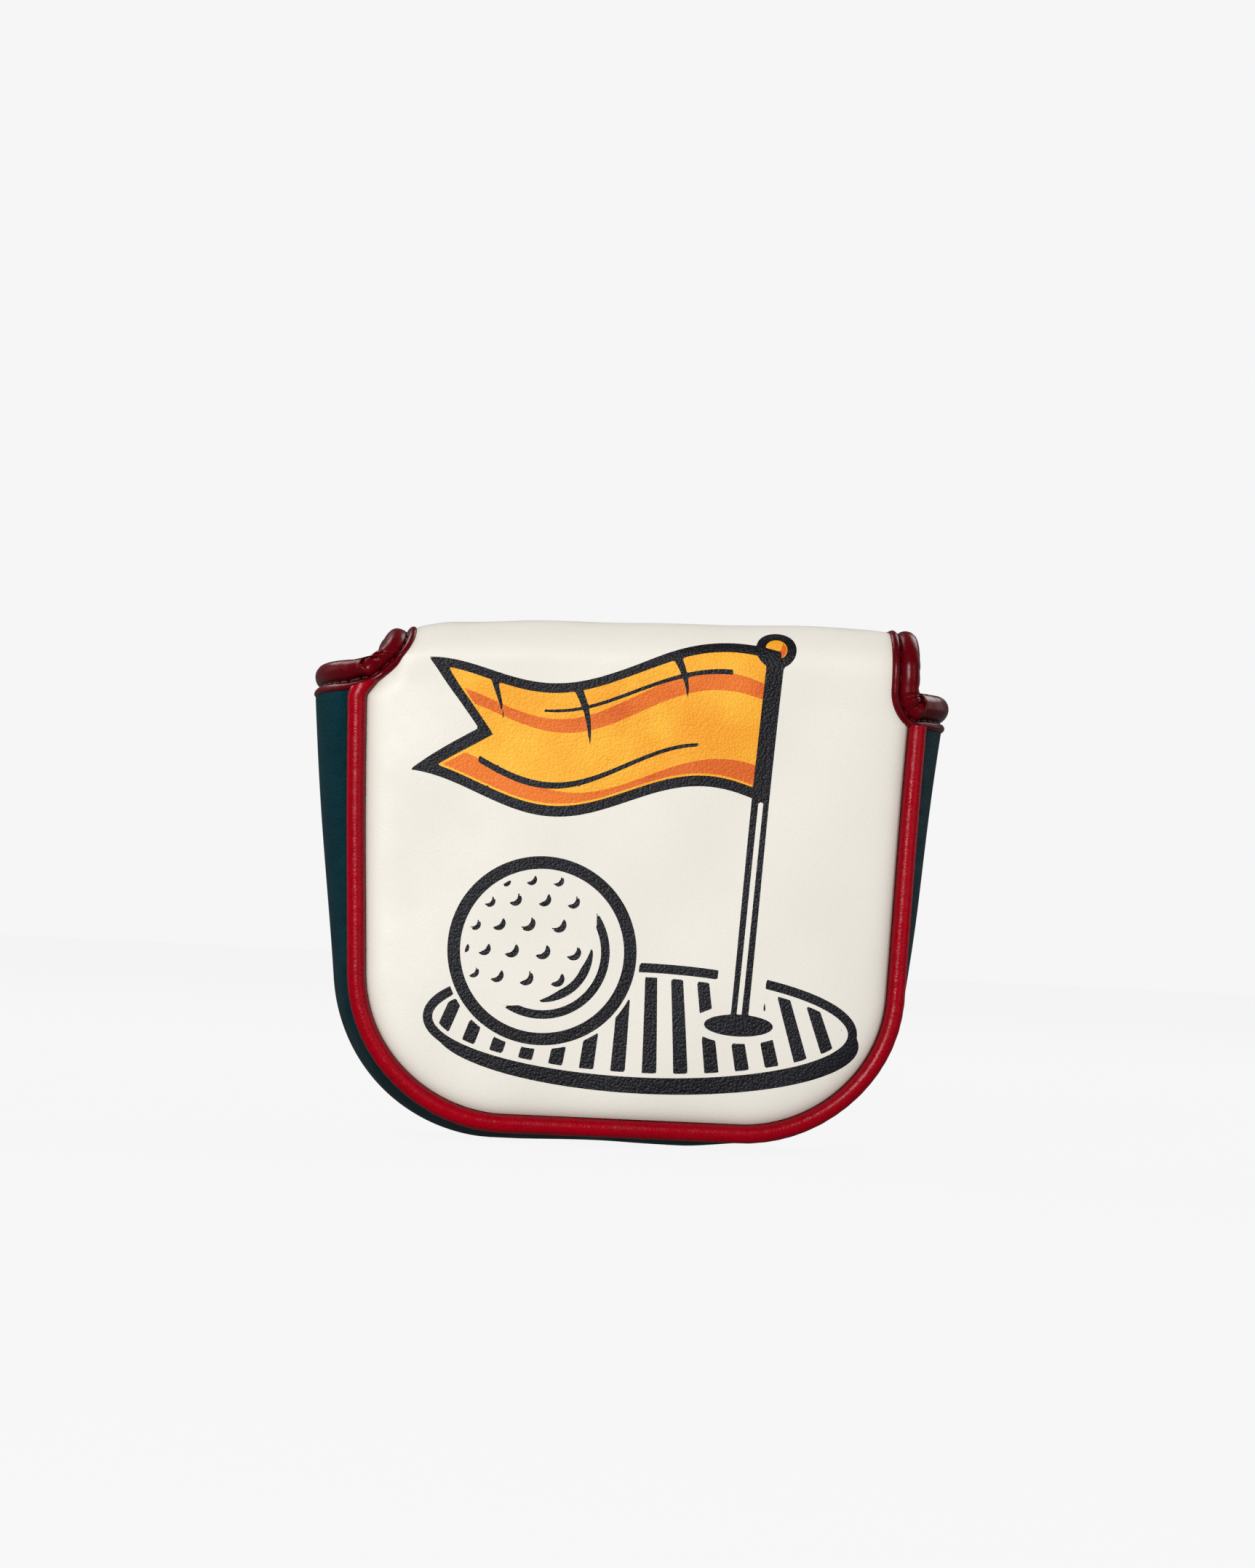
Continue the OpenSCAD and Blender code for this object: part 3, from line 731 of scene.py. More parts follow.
class Edge:
    """The bound edge on one side (1 right, -1 left), with what the binding's pieces need at each ring."""

    def __init__(self, side):
        self.o, self.a, self.n, self.mouth, self.s, self.wall = edge_path()
        for v in (self.o, self.a, self.n):
            v[:, 0] *= side
        self.side = side
        gaps = np.linalg.norm(np.diff(self.o, axis=0), axis=1)
        self.along = np.concatenate([[0], np.cumsum(gaps)])
        self.middle = int(np.argmin(np.abs(self.s - AT_MIDDLE) + 1e3 * (self.s < 0)))
        self.split = int(np.argmin(np.abs(self.s - SPLIT) + 1e3 * (self.s < 0)))
        in_notch = (self.s < NOTCH_Z + 3) & (self.s > 0)
        past = self.along[np.nonzero(in_notch)[0][0]]
        self.notch = np.exp(-((self.along - past - 8.5) / 7.5) ** 2)

    def put(self, i, across, up):
        """Points of a section, given as two arrays, at ring i."""
        return self.o[i] + across[:, None] * self.a[i] + up[:, None] * self.n[i]

    def skin_rings(self, places):
        """Rings of the binding's leather, with the wrinkles of leather drawn round a soft filler."""
        rings = []
        for i in places:
            section = binding_section(self.mouth[i], self.wall[i])
            out = section - roll_centre(self.mouth[i])
            far = np.linalg.norm(out, axis=1)
            angle = np.arctan2(out[:, 1], out[:, 0])
            on_roll = ramp(section[:, 0], 1.9, 3.0)
            along = self.along[i] + 0.5 * np.sin(angle + 0.6)
            seed = 1.0 + 0.7 * self.side
            fine = 0.03 * ripple(along, seed, (3.3, 4.7, 7.1)) + 0.06 * np.sin(along / 4.3 + 2 * angle)
            puckers = np.clip(ripple(along, seed + 4, (1.9, 2.9, 3.7)), 0, 1)
            inside_bend = np.clip(0.35 + 0.65 * np.cos(angle - 0.5), 0, 1) ** 2
            pucker = (0.05 + 0.95 * self.notch[i] * inside_bend) * puckers
            stitch_phase = (self.along[i] % STITCH_PITCH) / STITCH_PITCH
            scallop = 0.07 * np.sin(math.pi * stitch_phase) * (1 - on_roll)
            grow = on_roll * (fine - pucker) + scallop
            section = section + out / far[:, None] * grow[:, None]
            rings.append(self.put(i, section[:, 0], section[:, 1]))
        return np.array(rings)

    def round_rings(self, places, r, sides):
        """Rings of a round bar at the middle of the padded roll."""
        a = around(sides)
        rings = []
        for i in places:
            centre = roll_centre(self.mouth[i])
            rings.append(self.put(i, centre[0] + r * np.cos(a), centre[1] + r * np.sin(a)))
        return np.array(rings)

    def stitches(self, first, last):
        """Separate stitches in the groove between two rings. Each dips into the leather at both ends."""
        made = []
        low, high = sorted((self.along[first], self.along[last]))
        shares = np.array([0, 0.06, 0.25, 0.5, 0.75, 0.94, 1])
        at_end = 1 - np.clip(np.minimum(shares, 1 - shares) / 0.12, 0, 1)
        for number in range(math.ceil(low / STITCH_PITCH), math.floor(high / STITCH_PITCH)):
            begin = number * STITCH_PITCH + STITCH_GAP / 2
            at = begin + (STITCH_PITCH - STITCH_GAP) * shares
            o, a, n = (
                np.stack([np.interp(at, self.along, v[:, k]) for k in range(3)], -1)
                for v in (self.o, self.a, self.n)
            )
            mouth = np.interp(at, self.along, self.mouth)
            across = np.array([groove_place(m) for m in mouth])[:, None]
            centres = o + across * a - (LIP_DEPTH + STITCH_DEPTH + 0.35 * at_end[:, None]) * n
            rings = tube_rings(centres, unit(a), unit(n), THREAD_R * (1 - 0.7 * at_end[:, None]), 8)
            made.append(rings[:, ::-self.side])
        return made


# ---- materials

class Look:
    """A material built from nodes, with short calls for the common ones."""

    def __init__(self, name):
        self.material = bpy.data.materials.new(name)
        self.material.use_nodes = True
        self.tree = self.material.node_tree
        self.bsdf = self.tree.nodes["Principled BSDF"]
        self.coords = self.tree.nodes.new("ShaderNodeTexCoord").outputs["Object"]

    def node(self, kind, **inputs):
        made = self.tree.nodes.new(kind)
        for key, value in inputs.items():
            socket = made.inputs[key.replace("_", " ")]
            self.put(socket, value)
        return made

    def put(self, socket, value):
        if isinstance(value, bpy.types.NodeSocket):
            self.tree.links.new(value, socket)
        else:
            socket.default_value = value

    def math(self, operation, a, b):
        made = self.tree.nodes.new("ShaderNodeMath")
        made.operation = operation
        self.put(made.inputs[0], a)
        self.put(made.inputs[1], b)
        return made.outputs[0]

    def plus(self, a, b):
        return self.math("ADD", a, b)

    def times(self, a, b):
        return self.math("MULTIPLY", a, b)

    def noise(self, scale, detail=3.0, roughness=0.5):
        """Noise from 0 to 1, with scale in waves per metre."""
        made = self.node(
            "ShaderNodeTexNoise", Vector=self.coords, Scale=scale, Detail=detail, Roughness=roughness
        )
        return made.outputs["Fac"]

    def cells(self, scale):
        """Distance to the middle of the nearest cell, with scale in cells per metre."""
        made = self.tree.nodes.new("ShaderNodeTexVoronoi")
        self.put(made.inputs["Vector"], self.coords)
        made.inputs["Scale"].default_value = scale
        return made.outputs["Distance"]

    def between(self, fac, low, high, to_low=0.0, to_high=1.0):
        """fac, stretched so that low to high becomes to_low to to_high."""
        made = self.node(
            "ShaderNodeMapRange", Value=fac, From_Min=low, From_Max=high, To_Min=to_low, To_Max=to_high
        )
        return made.outputs["Result"]

    def mix(self, fac, a, b):
        made = self.tree.nodes.new("ShaderNodeMix")
        made.data_type = "RGBA"
        self.put(made.inputs["Factor"], fac)
        self.put(made.inputs[6], a)
        self.put(made.inputs[7], b)
        return made.outputs[2]

    def attribute(self, name):
        made = self.tree.nodes.new("ShaderNodeAttribute")
        made.attribute_name = name
        return made.outputs["Fac"]

    def bump(self, height, distance, strength=1.0):
        made = self.node("ShaderNodeBump", Height=height, Distance=distance, Strength=strength)
        self.put(self.bsdf.inputs["Normal"], made.outputs["Normal"])

    def set(self, **values):
        for key, value in values.items():
            self.put(self.bsdf.inputs[key.replace("_", " ")], value)


def srgb(r, g, b):
    """A colour given in the usual 0 to 255 values."""
    def linear(v):
        v = v / 255
        return v / 12.92 if v <= 0.04045 else ((v + 0.055) / 1.055) ** 2.4
    return (linear(r), linear(g), linear(b), 1.0)


def leather(
    name, dark, light, worn, rough, grain_mm, relief, cloud=0.4, grain_shade_share=0.28, shine=0.35, coat=0.0
):
    """Grained leather. light is its colour on the whole and worn its colour where rubbed. dark is the colour
    its tone drifts towards at random, and also the painted shade in the grain's crevices and along the seams.
    """
    look = Look(name)
    pebbles = look.cells(1000 / grain_mm)
    pores = look.noise(4200.0, 4.0, 0.6)
    folds = look.noise(260.0, 3.0, 0.55)
    height = look.plus(look.times(pebbles, -0.75), look.times(pores, 0.35))
    height = look.plus(height, look.times(folds, 0.9))
    tone = look.between(look.noise(38.0, 3.0), 0.36, 0.66)
    # Painted shade: the grain's crevices, where the bump sinks the surface, are darkened towards dark.
    grain_shade = look.between(pebbles, 0.35, 0.85)
    rub = look.times(look.between(look.noise(95.0, 5.0, 0.65), 0.50, 0.72), 0.5)
    colour = look.mix(look.times(tone, cloud), light, dark)
    colour = look.mix(look.times(grain_shade, grain_shade_share), colour, dark)
    colour = look.mix(look.times(rub, cloud), colour, worn)
    # Painted shade along seams, grooves and edges, by the shade amount each piece stores on its points.
    colour = look.mix(look.times(look.attribute("painted_shade"), 0.75), colour, dark)
    look.set(Base_Color=colour, Specular_IOR_Level=shine, IOR=1.46)
    look.set(Coat_Weight=coat, Coat_Roughness=0.2)
    look.set(Roughness=look.between(look.noise(150.0, 4.0), 0.3, 0.7, rough - 0.06, rough + 0.09))
    look.bump(height, relief, 0.9)
    return look.material


def plush(name, dark, light):
    """Short brushed pile."""
    look = Look(name)
    nap = look.noise(1500.0, 5.0, 0.7)
    lie = look.noise(70.0, 3.0)
    colour = look.mix(look.between(nap, 0.3, 0.7), dark, light)
    colour = look.mix(look.times(look.between(lie, 0.4, 0.6), 0.4), colour, light)
    look.set(Base_Color=colour, Roughness=look.between(nap, 0.3, 0.7, 0.85, 0.98))
    look.set(Sheen_Weight=0.6, Sheen_Roughness=0.5)
    look.bump(nap, 0.0004, 1.0)
    return look.material


def foam(name, dark, light):
    """Open-cell foam, painted darker as shade where its cells sink."""
    look = Look(name)
    cells = look.cells(1400.0)
    # Painted shade: darker towards the cells' edges, which the bump sinks.
    colour = look.mix(look.between(cells, 0.1, 0.8), light, dark)
    look.set(Base_Color=colour, Roughness=look.between(look.noise(300.0), 0.3, 0.7, 0.88, 0.98))
    look.bump(cells, -0.0003, 0.9)
    return look.material


def twisted(name, dark, light, twist, rough):
    """Twisted thread or cord; twist is strands per metre. The grooves between the strands are painted darker
    as shade.
    """
    look = Look(name)
    made = look.tree.nodes.new("ShaderNodeTexWave")
    made.bands_direction = "DIAGONAL"
    look.put(made.inputs["Vector"], look.coords)
    made.inputs["Scale"].default_value = twist / 20
    made.inputs["Distortion"].default_value = 1.5
    strands = made.outputs["Fac"]
    # Painted shade: dark in the grooves between strands, light on their crowns.
    colour = look.mix(strands, dark, light)
    colour = look.mix(look.between(look.noise(400.0), 0.4, 0.7, 0.0, 0.3), colour, dark)
    roughness = look.between(look.noise(900.0), 0.3, 0.7, rough - 0.08, rough + 0.08)
    look.set(Base_Color=colour, Roughness=roughness)
    look.set(Sheen_Weight=0.2)
    look.bump(strands, 0.0002, 0.8)
    return look.material


def plated(name):
    """Nickel-plated magnet with faint turning marks."""
    look = Look(name)
    marks = look.noise(2600.0, 2.0)
    stain = look.noise(180.0, 4.0)
    colour = look.mix(look.between(stain, 0.35, 0.7), srgb(188, 190, 194), srgb(150, 150, 150))
    look.set(Base_Color=colour, Metallic=1.0, Roughness=look.between(marks, 0.3, 0.7, 0.22, 0.38))
    look.bump(marks, 0.00003, 0.7)
    return look.material


def ink(name, dark, light, worn):
    """Screen print: it fills part of the leather's grain and is a little rubbed."""
    look = Look(name)
    pebbles = look.cells(1900.0)
    wear = look.noise(900.0, 5.0, 0.7)
    colour = look.mix(look.between(look.noise(60.0, 3.0), 0.35, 0.65), light, dark)
    spots = look.times(look.between(wear, 0.60, 0.72), look.between(pebbles, 0.3, 0.7))
    colour = look.mix(look.times(spots, 0.6), colour, worn)
    look.set(Base_Color=colour, Roughness=look.between(wear, 0.3, 0.7, 0.36, 0.5))
    look.set(Specular_IOR_Level=0.3, IOR=1.46)
    look.bump(look.plus(look.times(pebbles, -0.9), wear), 0.00016, 1.0)
    return look.material


# Each leather's first colour is also painted into its grain's crevices and along its seams as shade.
CREAM = leather("cream_leather", srgb(196, 186, 172), srgb(238, 233, 223), srgb(244, 240, 232), 0.44,
                grain_mm=0.42, relief=0.00003, cloud=0.10, grain_shade_share=0.07)
TEAL = leather("teal_leather", srgb(0, 20, 26), srgb(0, 54, 63), srgb(18, 76, 85), 0.42,
               grain_mm=0.62, relief=0.00011, shine=0.07)
PIPING = leather("piping_leather", srgb(84, 0, 9), srgb(168, 0, 23), srgb(200, 6, 38), 0.25,
                 grain_mm=0.62, relief=0.00006, cloud=0.22, shine=0.14, coat=0.03)
BINDING = leather("binding_leather", srgb(36, 0, 4), srgb(106, 0, 12), srgb(136, 2, 22), 0.26,
                  grain_mm=0.55, relief=0.00004, cloud=0.3, shine=0.12, coat=0.10)
PLUSH = plush("plush", srgb(34, 36, 41), srgb(74, 77, 84))
FOAM = foam("foam", srgb(150, 150, 146), srgb(206, 206, 200))
CORD = twisted("cord", srgb(186, 180, 166), srgb(236, 231, 218), 900.0, 0.75)
THREAD = twisted("thread", srgb(34, 3, 8), srgb(88, 12, 24), 2600.0, 0.5)
MAGNET = plated("magnet")
INK_BLACK = ink("ink_black", srgb(8, 8, 14), srgb(18, 19, 28), srgb(62, 62, 70))
INK_GOLD = ink("ink_gold", srgb(246, 160, 30), srgb(255, 187, 52), srgb(240, 205, 140))
INK_ORANGE = ink("ink_orange", srgb(214, 92, 22), srgb(238, 120, 34), srgb(240, 170, 110))


# ---- pieces

def done(piece, joint=None, body=None, nodes=()):
    """Finishes a piece: bakes its transform in place for the front and rear joints, or else parents it to a
    body's empty, and hides the CAD nodes it stands for.
    """
    if joint == "front":
        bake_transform(piece)
    elif joint == "rear":
        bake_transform(piece)
    else:
        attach(piece, body or "pouch")
    if nodes:
        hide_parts(*nodes)
    return piece


def make_sheets():
    """The long cream sheet's three layers, each in two pieces that meet over the mouth."""
    layers = [
        ("leather", at(0.0), at(LEATHER_T), 0.0, CREAM, "cream_leather"),
        ("padding", at(LEATHER_T + LAYER_GAP), below_foam(0.0), PADDING_TRIM, FOAM, "foam"),
        ("plush", below_foam(LAYER_GAP), below_foam(LINING_T), PADDING_TRIM, PLUSH, "plush"),
    ]
    nodes = {"leather": "panel", "padding": "foam", "plush": "lining"}
    for layer, top, bottom, trim, material, slot_name in layers:
        front = sheet_piece(f"front_{layer}", 0, AT_MIDDLE, top, bottom, trim, material)
        rear = sheet_piece(f"rear_{layer}", AT_MIDDLE, AT_END, top, bottom, trim, material)
        node = nodes[layer]
        done(front, joint="front", nodes=(f"front_{node}", f"flap_{node}"))
        done(rear, joint="rear", nodes=(f"tail_{node}",))


def wall_layers(foam_t):
    """A pouch wall's layers: name, the depths where each begins and ends, material and slot."""
    foam_end = LEATHER_T + foam_t
    return (
        ("leather", 0.0, LEATHER_T, TEAL, "teal_leather"),
        ("padding", LEATHER_T + LAYER_GAP, foam_end, FOAM, "foam"),
        ("plush", foam_end + LAYER_GAP, foam_end + LINING_T, PLUSH, "plush"),
    )


def make_pouch():
    """The back wall, the gusset and the piping."""
    back_nodes = {"leather": "back_panel", "padding": "back_foam", "plush": "back_lining"}
    gusset_nodes = {"leather": "gusset", "padding": "gusset_foam", "plush": "gusset_lining"}
    for layer, top, bottom, material, slot_name in wall_layers(FOAM_T):
        trim = 0.0 if layer == "leather" else PADDING_TRIM
        wall = back_piece(f"back_{layer}", top, bottom, trim, material)
        done(wall, nodes=(back_nodes[layer],))
    for layer, top, bottom, material, slot_name in wall_layers(GUSSET_FOAM_T):
        wall = gusset_piece(f"gusset_{layer}", top, bottom, material)
        done(wall, nodes=(gusset_nodes[layer],))
    for seam_name, side in (("front", -1), ("back", 1)):
        cover = piping_piece(f"{seam_name}_piping_cover", side, PIPING)
        done(cover, nodes=(f"{seam_name}_piping",))


def make_binding():
    """The padded binding, its filler and its stitches, in four parts that meet end to end."""
    left, right = Edge(-1), Edge(1)
    end, middle, split = len(right.o) - 1, right.middle, right.split

    def run(first, last):
        step = 1 if last > first else -1
        return np.arange(first, last + step, step)

    # Each part is a list of (edge, ring numbers): down the right side from tail to mouth, and back up the
    # left
    parts = {
        "tail": [(left, run(middle, 0)), (right, run(1, middle))],
        "flap_left": [(left, run(split, middle))],
        "flap_right": [(right, run(middle, split))],
        "mouth": [(right, run(split, end)), (left, run(end - 1, split))],
    }
    joints = {"tail": "rear", "flap_left": "front", "flap_right": "front", "mouth": None}
    nodes = {
        "tail": ("tail_binding", "tail_filler", "tail_stitching"),
        "flap_left": ("flap_binding_left", "flap_filler_left", "flap_stitching"),
        "flap_right": ("flap_binding_right", "flap_filler_right", None),
        "mouth": ("mouth_binding", "mouth_binding_filler", "mouth_stitching"),
    }
    section = binding_section(0, FLAP_T)
    # Painted shade in the stitched groove between the lip and the roll.
    groove = np.exp(-np.abs(section[:, 0] - groove_place(0)) / 0.35) * (section[:, 1] > -1.2)
    for part, runs in parts.items():
        binding, filler, stitching = nodes[part]
        skin = np.concatenate([edge.skin_rings(rings) for edge, rings in runs])
        sides = skin.shape[1]
        bore = np.concatenate([edge.round_rings(rings, FILLER_R + 0.05, sides) for edge, rings in runs])
        core = np.concatenate([edge.round_rings(rings, FILLER_R, 16) for edge, rings in runs])
        threads = [bar for edge, rings in runs for bar in edge.stitches(rings[0], rings[-1])]
        joint = joints[part]
        cover = tube(f"{part}_binding_cover", skin, bore, BINDING, groove)
        done(cover, joint, nodes=(binding,))
        done(bars(f"{part}_binding_core", [core], FOAM), joint, nodes=(filler,))
        seams = (stitching,) if stitching else ()
        done(bars(f"{part}_stitches", threads, THREAD), joint, nodes=seams)


# ---- the printed emblem
# A plain golf emblem: a pennant on its stick, a ball, and a striped green with the hole. Every shape is a
# signed distance over x (across) and s (up the sheet), in millimetres, negative inside.

STROKE = 1.15
STICK_FOOT = (24.0, 27.0)
STICK_TOP = (29.0, 109.0)
STICK_R = 1.9
STICK_CORE_R = 0.55
KNOB_R = 3.4
HOLE_SIZE = (7.5, 2.4)
BALL = (-19.0, 41.0)
BALL_R = 19.0
BALL_LIT = (BALL[0] - 7.5, BALL[1] + 7.0)
GREEN = (3.0, 26.0)
GREEN_SIZE = (46.0, 12.5)
# The height up the sheet where the green's mown stripes would meet
STRIPES_MEET = 132.0
STRIPE_PITCH = 6.2
FLAG_TIP = -46.0
FLAG_LENGTH = STICK_TOP[0] - FLAG_TIP
FLAG_NOTCH = 13.0
INK_CELL = 0.5
INK_UNDER = 0.03


def disc(x, s, centre, r):
    return np.hypot(x - centre[0], s - centre[1]) - r


def oval(x, s, centre, half_x, half_s):
    dx, ds = x - centre[0], s - centre[1]
    near = np.hypot(dx / half_x, ds / half_s)
    steep = np.hypot(dx / half_x**2, ds / half_s**2) + 1e-9
    return near * (near - 1) / steep


def rod(x, s, a, b, r):
    """A round-ended bar from a to b."""
    vx, vs = b[0] - a[0], b[1] - a[1]
    t = np.clip(((x - a[0]) * vx + (s - a[1]) * vs) / (vx * vx + vs * vs), 0, 1)
    return np.hypot(x - a[0] - t * vx, s - a[1] - t * vs) - r


def stripes(value, period, share):
    """Repeating stripes along a value in millimetres. share is how much of each period is inside."""
    phase = np.abs((value / period) % 1 - 0.5) * period
    return phase - share * period / 2


def line(d, half=STROKE):
    return np.abs(d) - half


def union(*shapes):
    return np.minimum.reduce(shapes)


def both(*shapes):
    return np.maximum.reduce(shapes)


def stick_x(s):
    share = (s - STICK_FOOT[1]) / (STICK_TOP[1] - STICK_FOOT[1])
    return STICK_FOOT[0] + share * (STICK_TOP[0] - STICK_FOOT[0])


def flag_frame(x, s):
    """Place along the pennant (stick 0, tip 1), height over its middle line, and half its height."""
    root = stick_x(s)
    t = (root - x) / (root - FLAG_TIP)
    middle = 90.5 - 3.0 * t + 4.2 * np.sin(2 * np.pi * (1.12 * t + 0.06))
    return t, s - middle, 15.5 - 3.5 * t


def flag(x, s):
    _, up, half = flag_frame(x, s)
    edge = np.abs(up) - half
    root = x - stick_x(s)
    tail = (FLAG_TIP + FLAG_NOTCH * (1 - np.abs(up) / half) - x) / 1.4
    return both(edge, root, tail)


def gold_ink(x, s):
    return union(flag(x, s), disc(x, s, STICK_TOP, KNOB_R))


def orange_ink(x, s):
    t, up, half = flag_frame(x, s)
    inside = flag(x, s) + STROKE + 0.5
    low_fold = up + half - 4.6 - 1.6 * np.sin(2 * np.pi * (1.12 * t + 0.3))
    band = line(up - 0.42 * half - 0.8 * np.sin(9 * t), 1.7 + 0.5 * np.sin(6 * t))
    shade = both(inside, union(low_fold, band))
    knob_lit = disc(x, s, (STICK_TOP[0] - 1.2, STICK_TOP[1] + 1.4), 2.6)
    knob_shade = both(disc(x, s, STICK_TOP, 2.2), -knob_lit)
    return union(shade, knob_shade)


def flag_lines(x, s):
    """The pennant's drawn folds: tapering strokes that follow its wave."""
    t, up, half = flag_frame(x, s)
    inside = flag(x, s)
    upper = line(up - 0.62 * half, 0.6 * np.clip(1.15 - t, 0.4, 1))
    upper = both(upper, (0.12 - t) * FLAG_LENGTH, (t - 0.66) * FLAG_LENGTH)
    lower = line(up + half - 6.6 - 1.2 * np.sin(7 * t), 0.75 * np.clip(0.3 + t, 0, 1))
    lower = both(lower, (0.2 - t) * FLAG_LENGTH, (t - 0.84) * FLAG_LENGTH)
    folds = upper
    for place, reach in ((0.24, 0.46), (0.52, 0.62), (0.77, 0.38)):
        bend = (t - place - 0.05 * (up / half) ** 2) * FLAG_LENGTH
        taper = np.clip(1 - (half - up) / (2 * half * reach), 0, 1)
        folds = union(folds, both(line(bend, 0.95 * taper), up - half))
    return both(inside, union(folds, lower))


def dimples(x, s):
    """Rows of dimples seen on a ball, smaller towards its edge."""
    shape = np.full_like(x, 1e3)
    pitch = 0.36
    for row in range(-4, 5):
        for column in range(-4, 5):
            along = (column + 0.5 * (row % 2)) * pitch
            rise = row * pitch * 0.87
            angle = math.hypot(along, rise)
            if angle > 1.25:
                continue
            reach = BALL_R * math.sin(angle) / max(angle, 1e-6)
            centre = (BALL[0] + along * reach, BALL[1] + rise * reach)
            if math.dist(centre, BALL_LIT) > BALL_R - 2:
                continue
            r = 1.75 * math.cos(angle) ** 0.6
            lit = (centre[0] - 0.55 * r, centre[1] + 0.55 * r)
            cup = both(disc(x, s, centre, r), -disc(x, s, lit, r))
            shape = union(shape, cup)
    return shape


def ball_lines(x, s):
    """The ball's outline, its dimples, and the hatching on its shaded side."""
    ball = disc(x, s, BALL, BALL_R)
    shaded = both(disc(x, s, BALL, BALL_R - 3.6), -disc(x, s, BALL_LIT, BALL_R))
    hatch = both(shaded, stripes(ball, 3.6, 0.52))
    spots = both(dimples(x, s), ball + 2.4)
    return union(line(ball, 1.35), hatch, spots)


def green_lines(x, s):
    """The hole, and the green's edge and mown stripes, clear of the ball, the hole and the stick."""
    green = oval(x, s, GREEN, *GREEN_SIZE)
    hole = oval(x, s, STICK_FOOT, *HOLE_SIZE)
    fan = (x - GREEN[0]) / (STRIPES_MEET - s) * (STRIPES_MEET - GREEN[1])
    mown = both(green + 2.0, stripes(fan + 1.2, STRIPE_PITCH, 0.46))
    rough = both(oval(x, s, (GREEN[0] + 1.5, GREEN[1] - 2.6), *GREEN_SIZE), -green + 0.4)
    beside_stick = rod(x, s, (STICK_FOOT[0], STICK_FOOT[1] + 4), STICK_TOP, 5.3)
    ground = union(line(green, 1.0), mown, rough)
    ground = both(ground, 2.2 - disc(x, s, BALL, BALL_R), 1.6 - hole, -beside_stick)
    return union(hole, ground)


def stick_lines(x, s):
    """The stick, hollow down its middle, and the outline of its knob."""
    knob = disc(x, s, STICK_TOP, KNOB_R)
    core = rod(x, s, (STICK_FOOT[0], STICK_FOOT[1] + 2), (STICK_TOP[0], STICK_TOP[1] - 5), STICK_CORE_R)
    stick = both(rod(x, s, STICK_FOOT, STICK_TOP, STICK_R), -core, -disc(x, s, STICK_TOP, 2.6))
    return union(line(knob, 1.0), stick)


def black_ink(x, s):
    pennant = union(line(flag(x, s)), flag_lines(x, s))
    return union(pennant, stick_lines(x, s), green_lines(x, s), ball_lines(x, s))


def cut_film(x, s, d):
    """Triangles over a grid of points, cut along d = 0.

    Gives the points used, the faces where d is negative, and the edges along the cut."""
    columns = x.shape[1]
    flat_x, flat_s, flat_d = x.ravel(), s.ravel(), d.ravel()
    ids, places, faces, rim = {}, [], [], []

    def node(a, b=None):
        key = (a, b) if b is None or a < b else (b, a)
        if key not in ids:
            ids[key] = len(places)
            share = 0.0 if b is None else flat_d[key[0]] / (flat_d[key[0]] - flat_d[key[1]])
            end = key[0] if b is None else key[1]
            places.append((
                flat_x[key[0]] + share * (flat_x[end] - flat_x[key[0]]),
                flat_s[key[0]] + share * (flat_s[end] - flat_s[key[0]]),
            ))
        return ids[key]

    inside = flat_d < 0
    cell = inside.reshape(d.shape)
    touched = cell[:-1, :-1] | cell[1:, :-1] | cell[:-1, 1:] | cell[1:, 1:]
    for row, column in zip(*np.nonzero(touched)):
        a = row * columns + column
        b = a + columns
        for triangle in ((a, a + 1, b + 1), (a, b + 1, b)):
            kept = [inside[k] for k in triangle]
            if not any(kept):
                continue
            if all(kept):
                faces.append(tuple(node(k) for k in triangle))
                continue
            ring = []
            for here, after in zip(triangle, triangle[1:] + triangle[:1]):
                if inside[here]:
                    ring.append(node(here))
                if inside[here] != inside[after]:
                    ring.append(node(here, after))
                    if inside[here]:
                        leaving = len(ring) - 1
            faces.append(tuple(ring))
            rim.append((ring[leaving], ring[(leaving + 1) % len(ring)]))
    return np.array(places), faces, rim


def print_piece(name, shape, rise, material, box):
    """A closed film of ink on the cream leather, where a shape's distance is negative."""
    x, s = np.meshgrid(steps(box[0], box[1], INK_CELL), steps(box[2], box[3], INK_CELL))
    places, faces, rim = cut_film(x, s, shape(x, s))
    count = len(places)
    top = sheet_point(places[:, 0], places[:, 1], -rise)
    under = sheet_point(places[:, 0], places[:, 1], INK_UNDER)
    faces += [tuple(k + count for k in face[::-1]) for face in faces]
    faces += [(b, a, a + count, b + count) for a, b in rim]
    return make_mesh(name, np.concatenate([top, under]), faces, material)


def make_print():
    """The emblem's three inks, each a little prouder than the one under it."""
    box = (-56.0, 56.0, 9.0, AT_FOLD + 12.0)
    for name, shape, rise, material in (
        ("print_gold", gold_ink, 0.035, INK_GOLD),
        ("print_orange", orange_ink, 0.05, INK_ORANGE),
        ("print_black", black_ink, 0.065, INK_BLACK),
    ):
        done(print_piece(name, shape, rise, material, box), joint="front")


def finish_cad_parts():
    """The seam cords and the magnets stay as they are in the CAD, with their own materials."""
    for node, material in (
        ("front_piping_cord", CORD),
        ("back_piping_cord", CORD),
        ("pouch_magnet_left", MAGNET),
        ("pouch_magnet_right", MAGNET),
        ("tail_magnet_left", MAGNET),
        ("tail_magnet_right", MAGNET),
    ):
        piece = bpy.data.objects[node]
        piece.data.materials.clear()
        piece.data.materials.append(material)


# ---- floor, light and camera

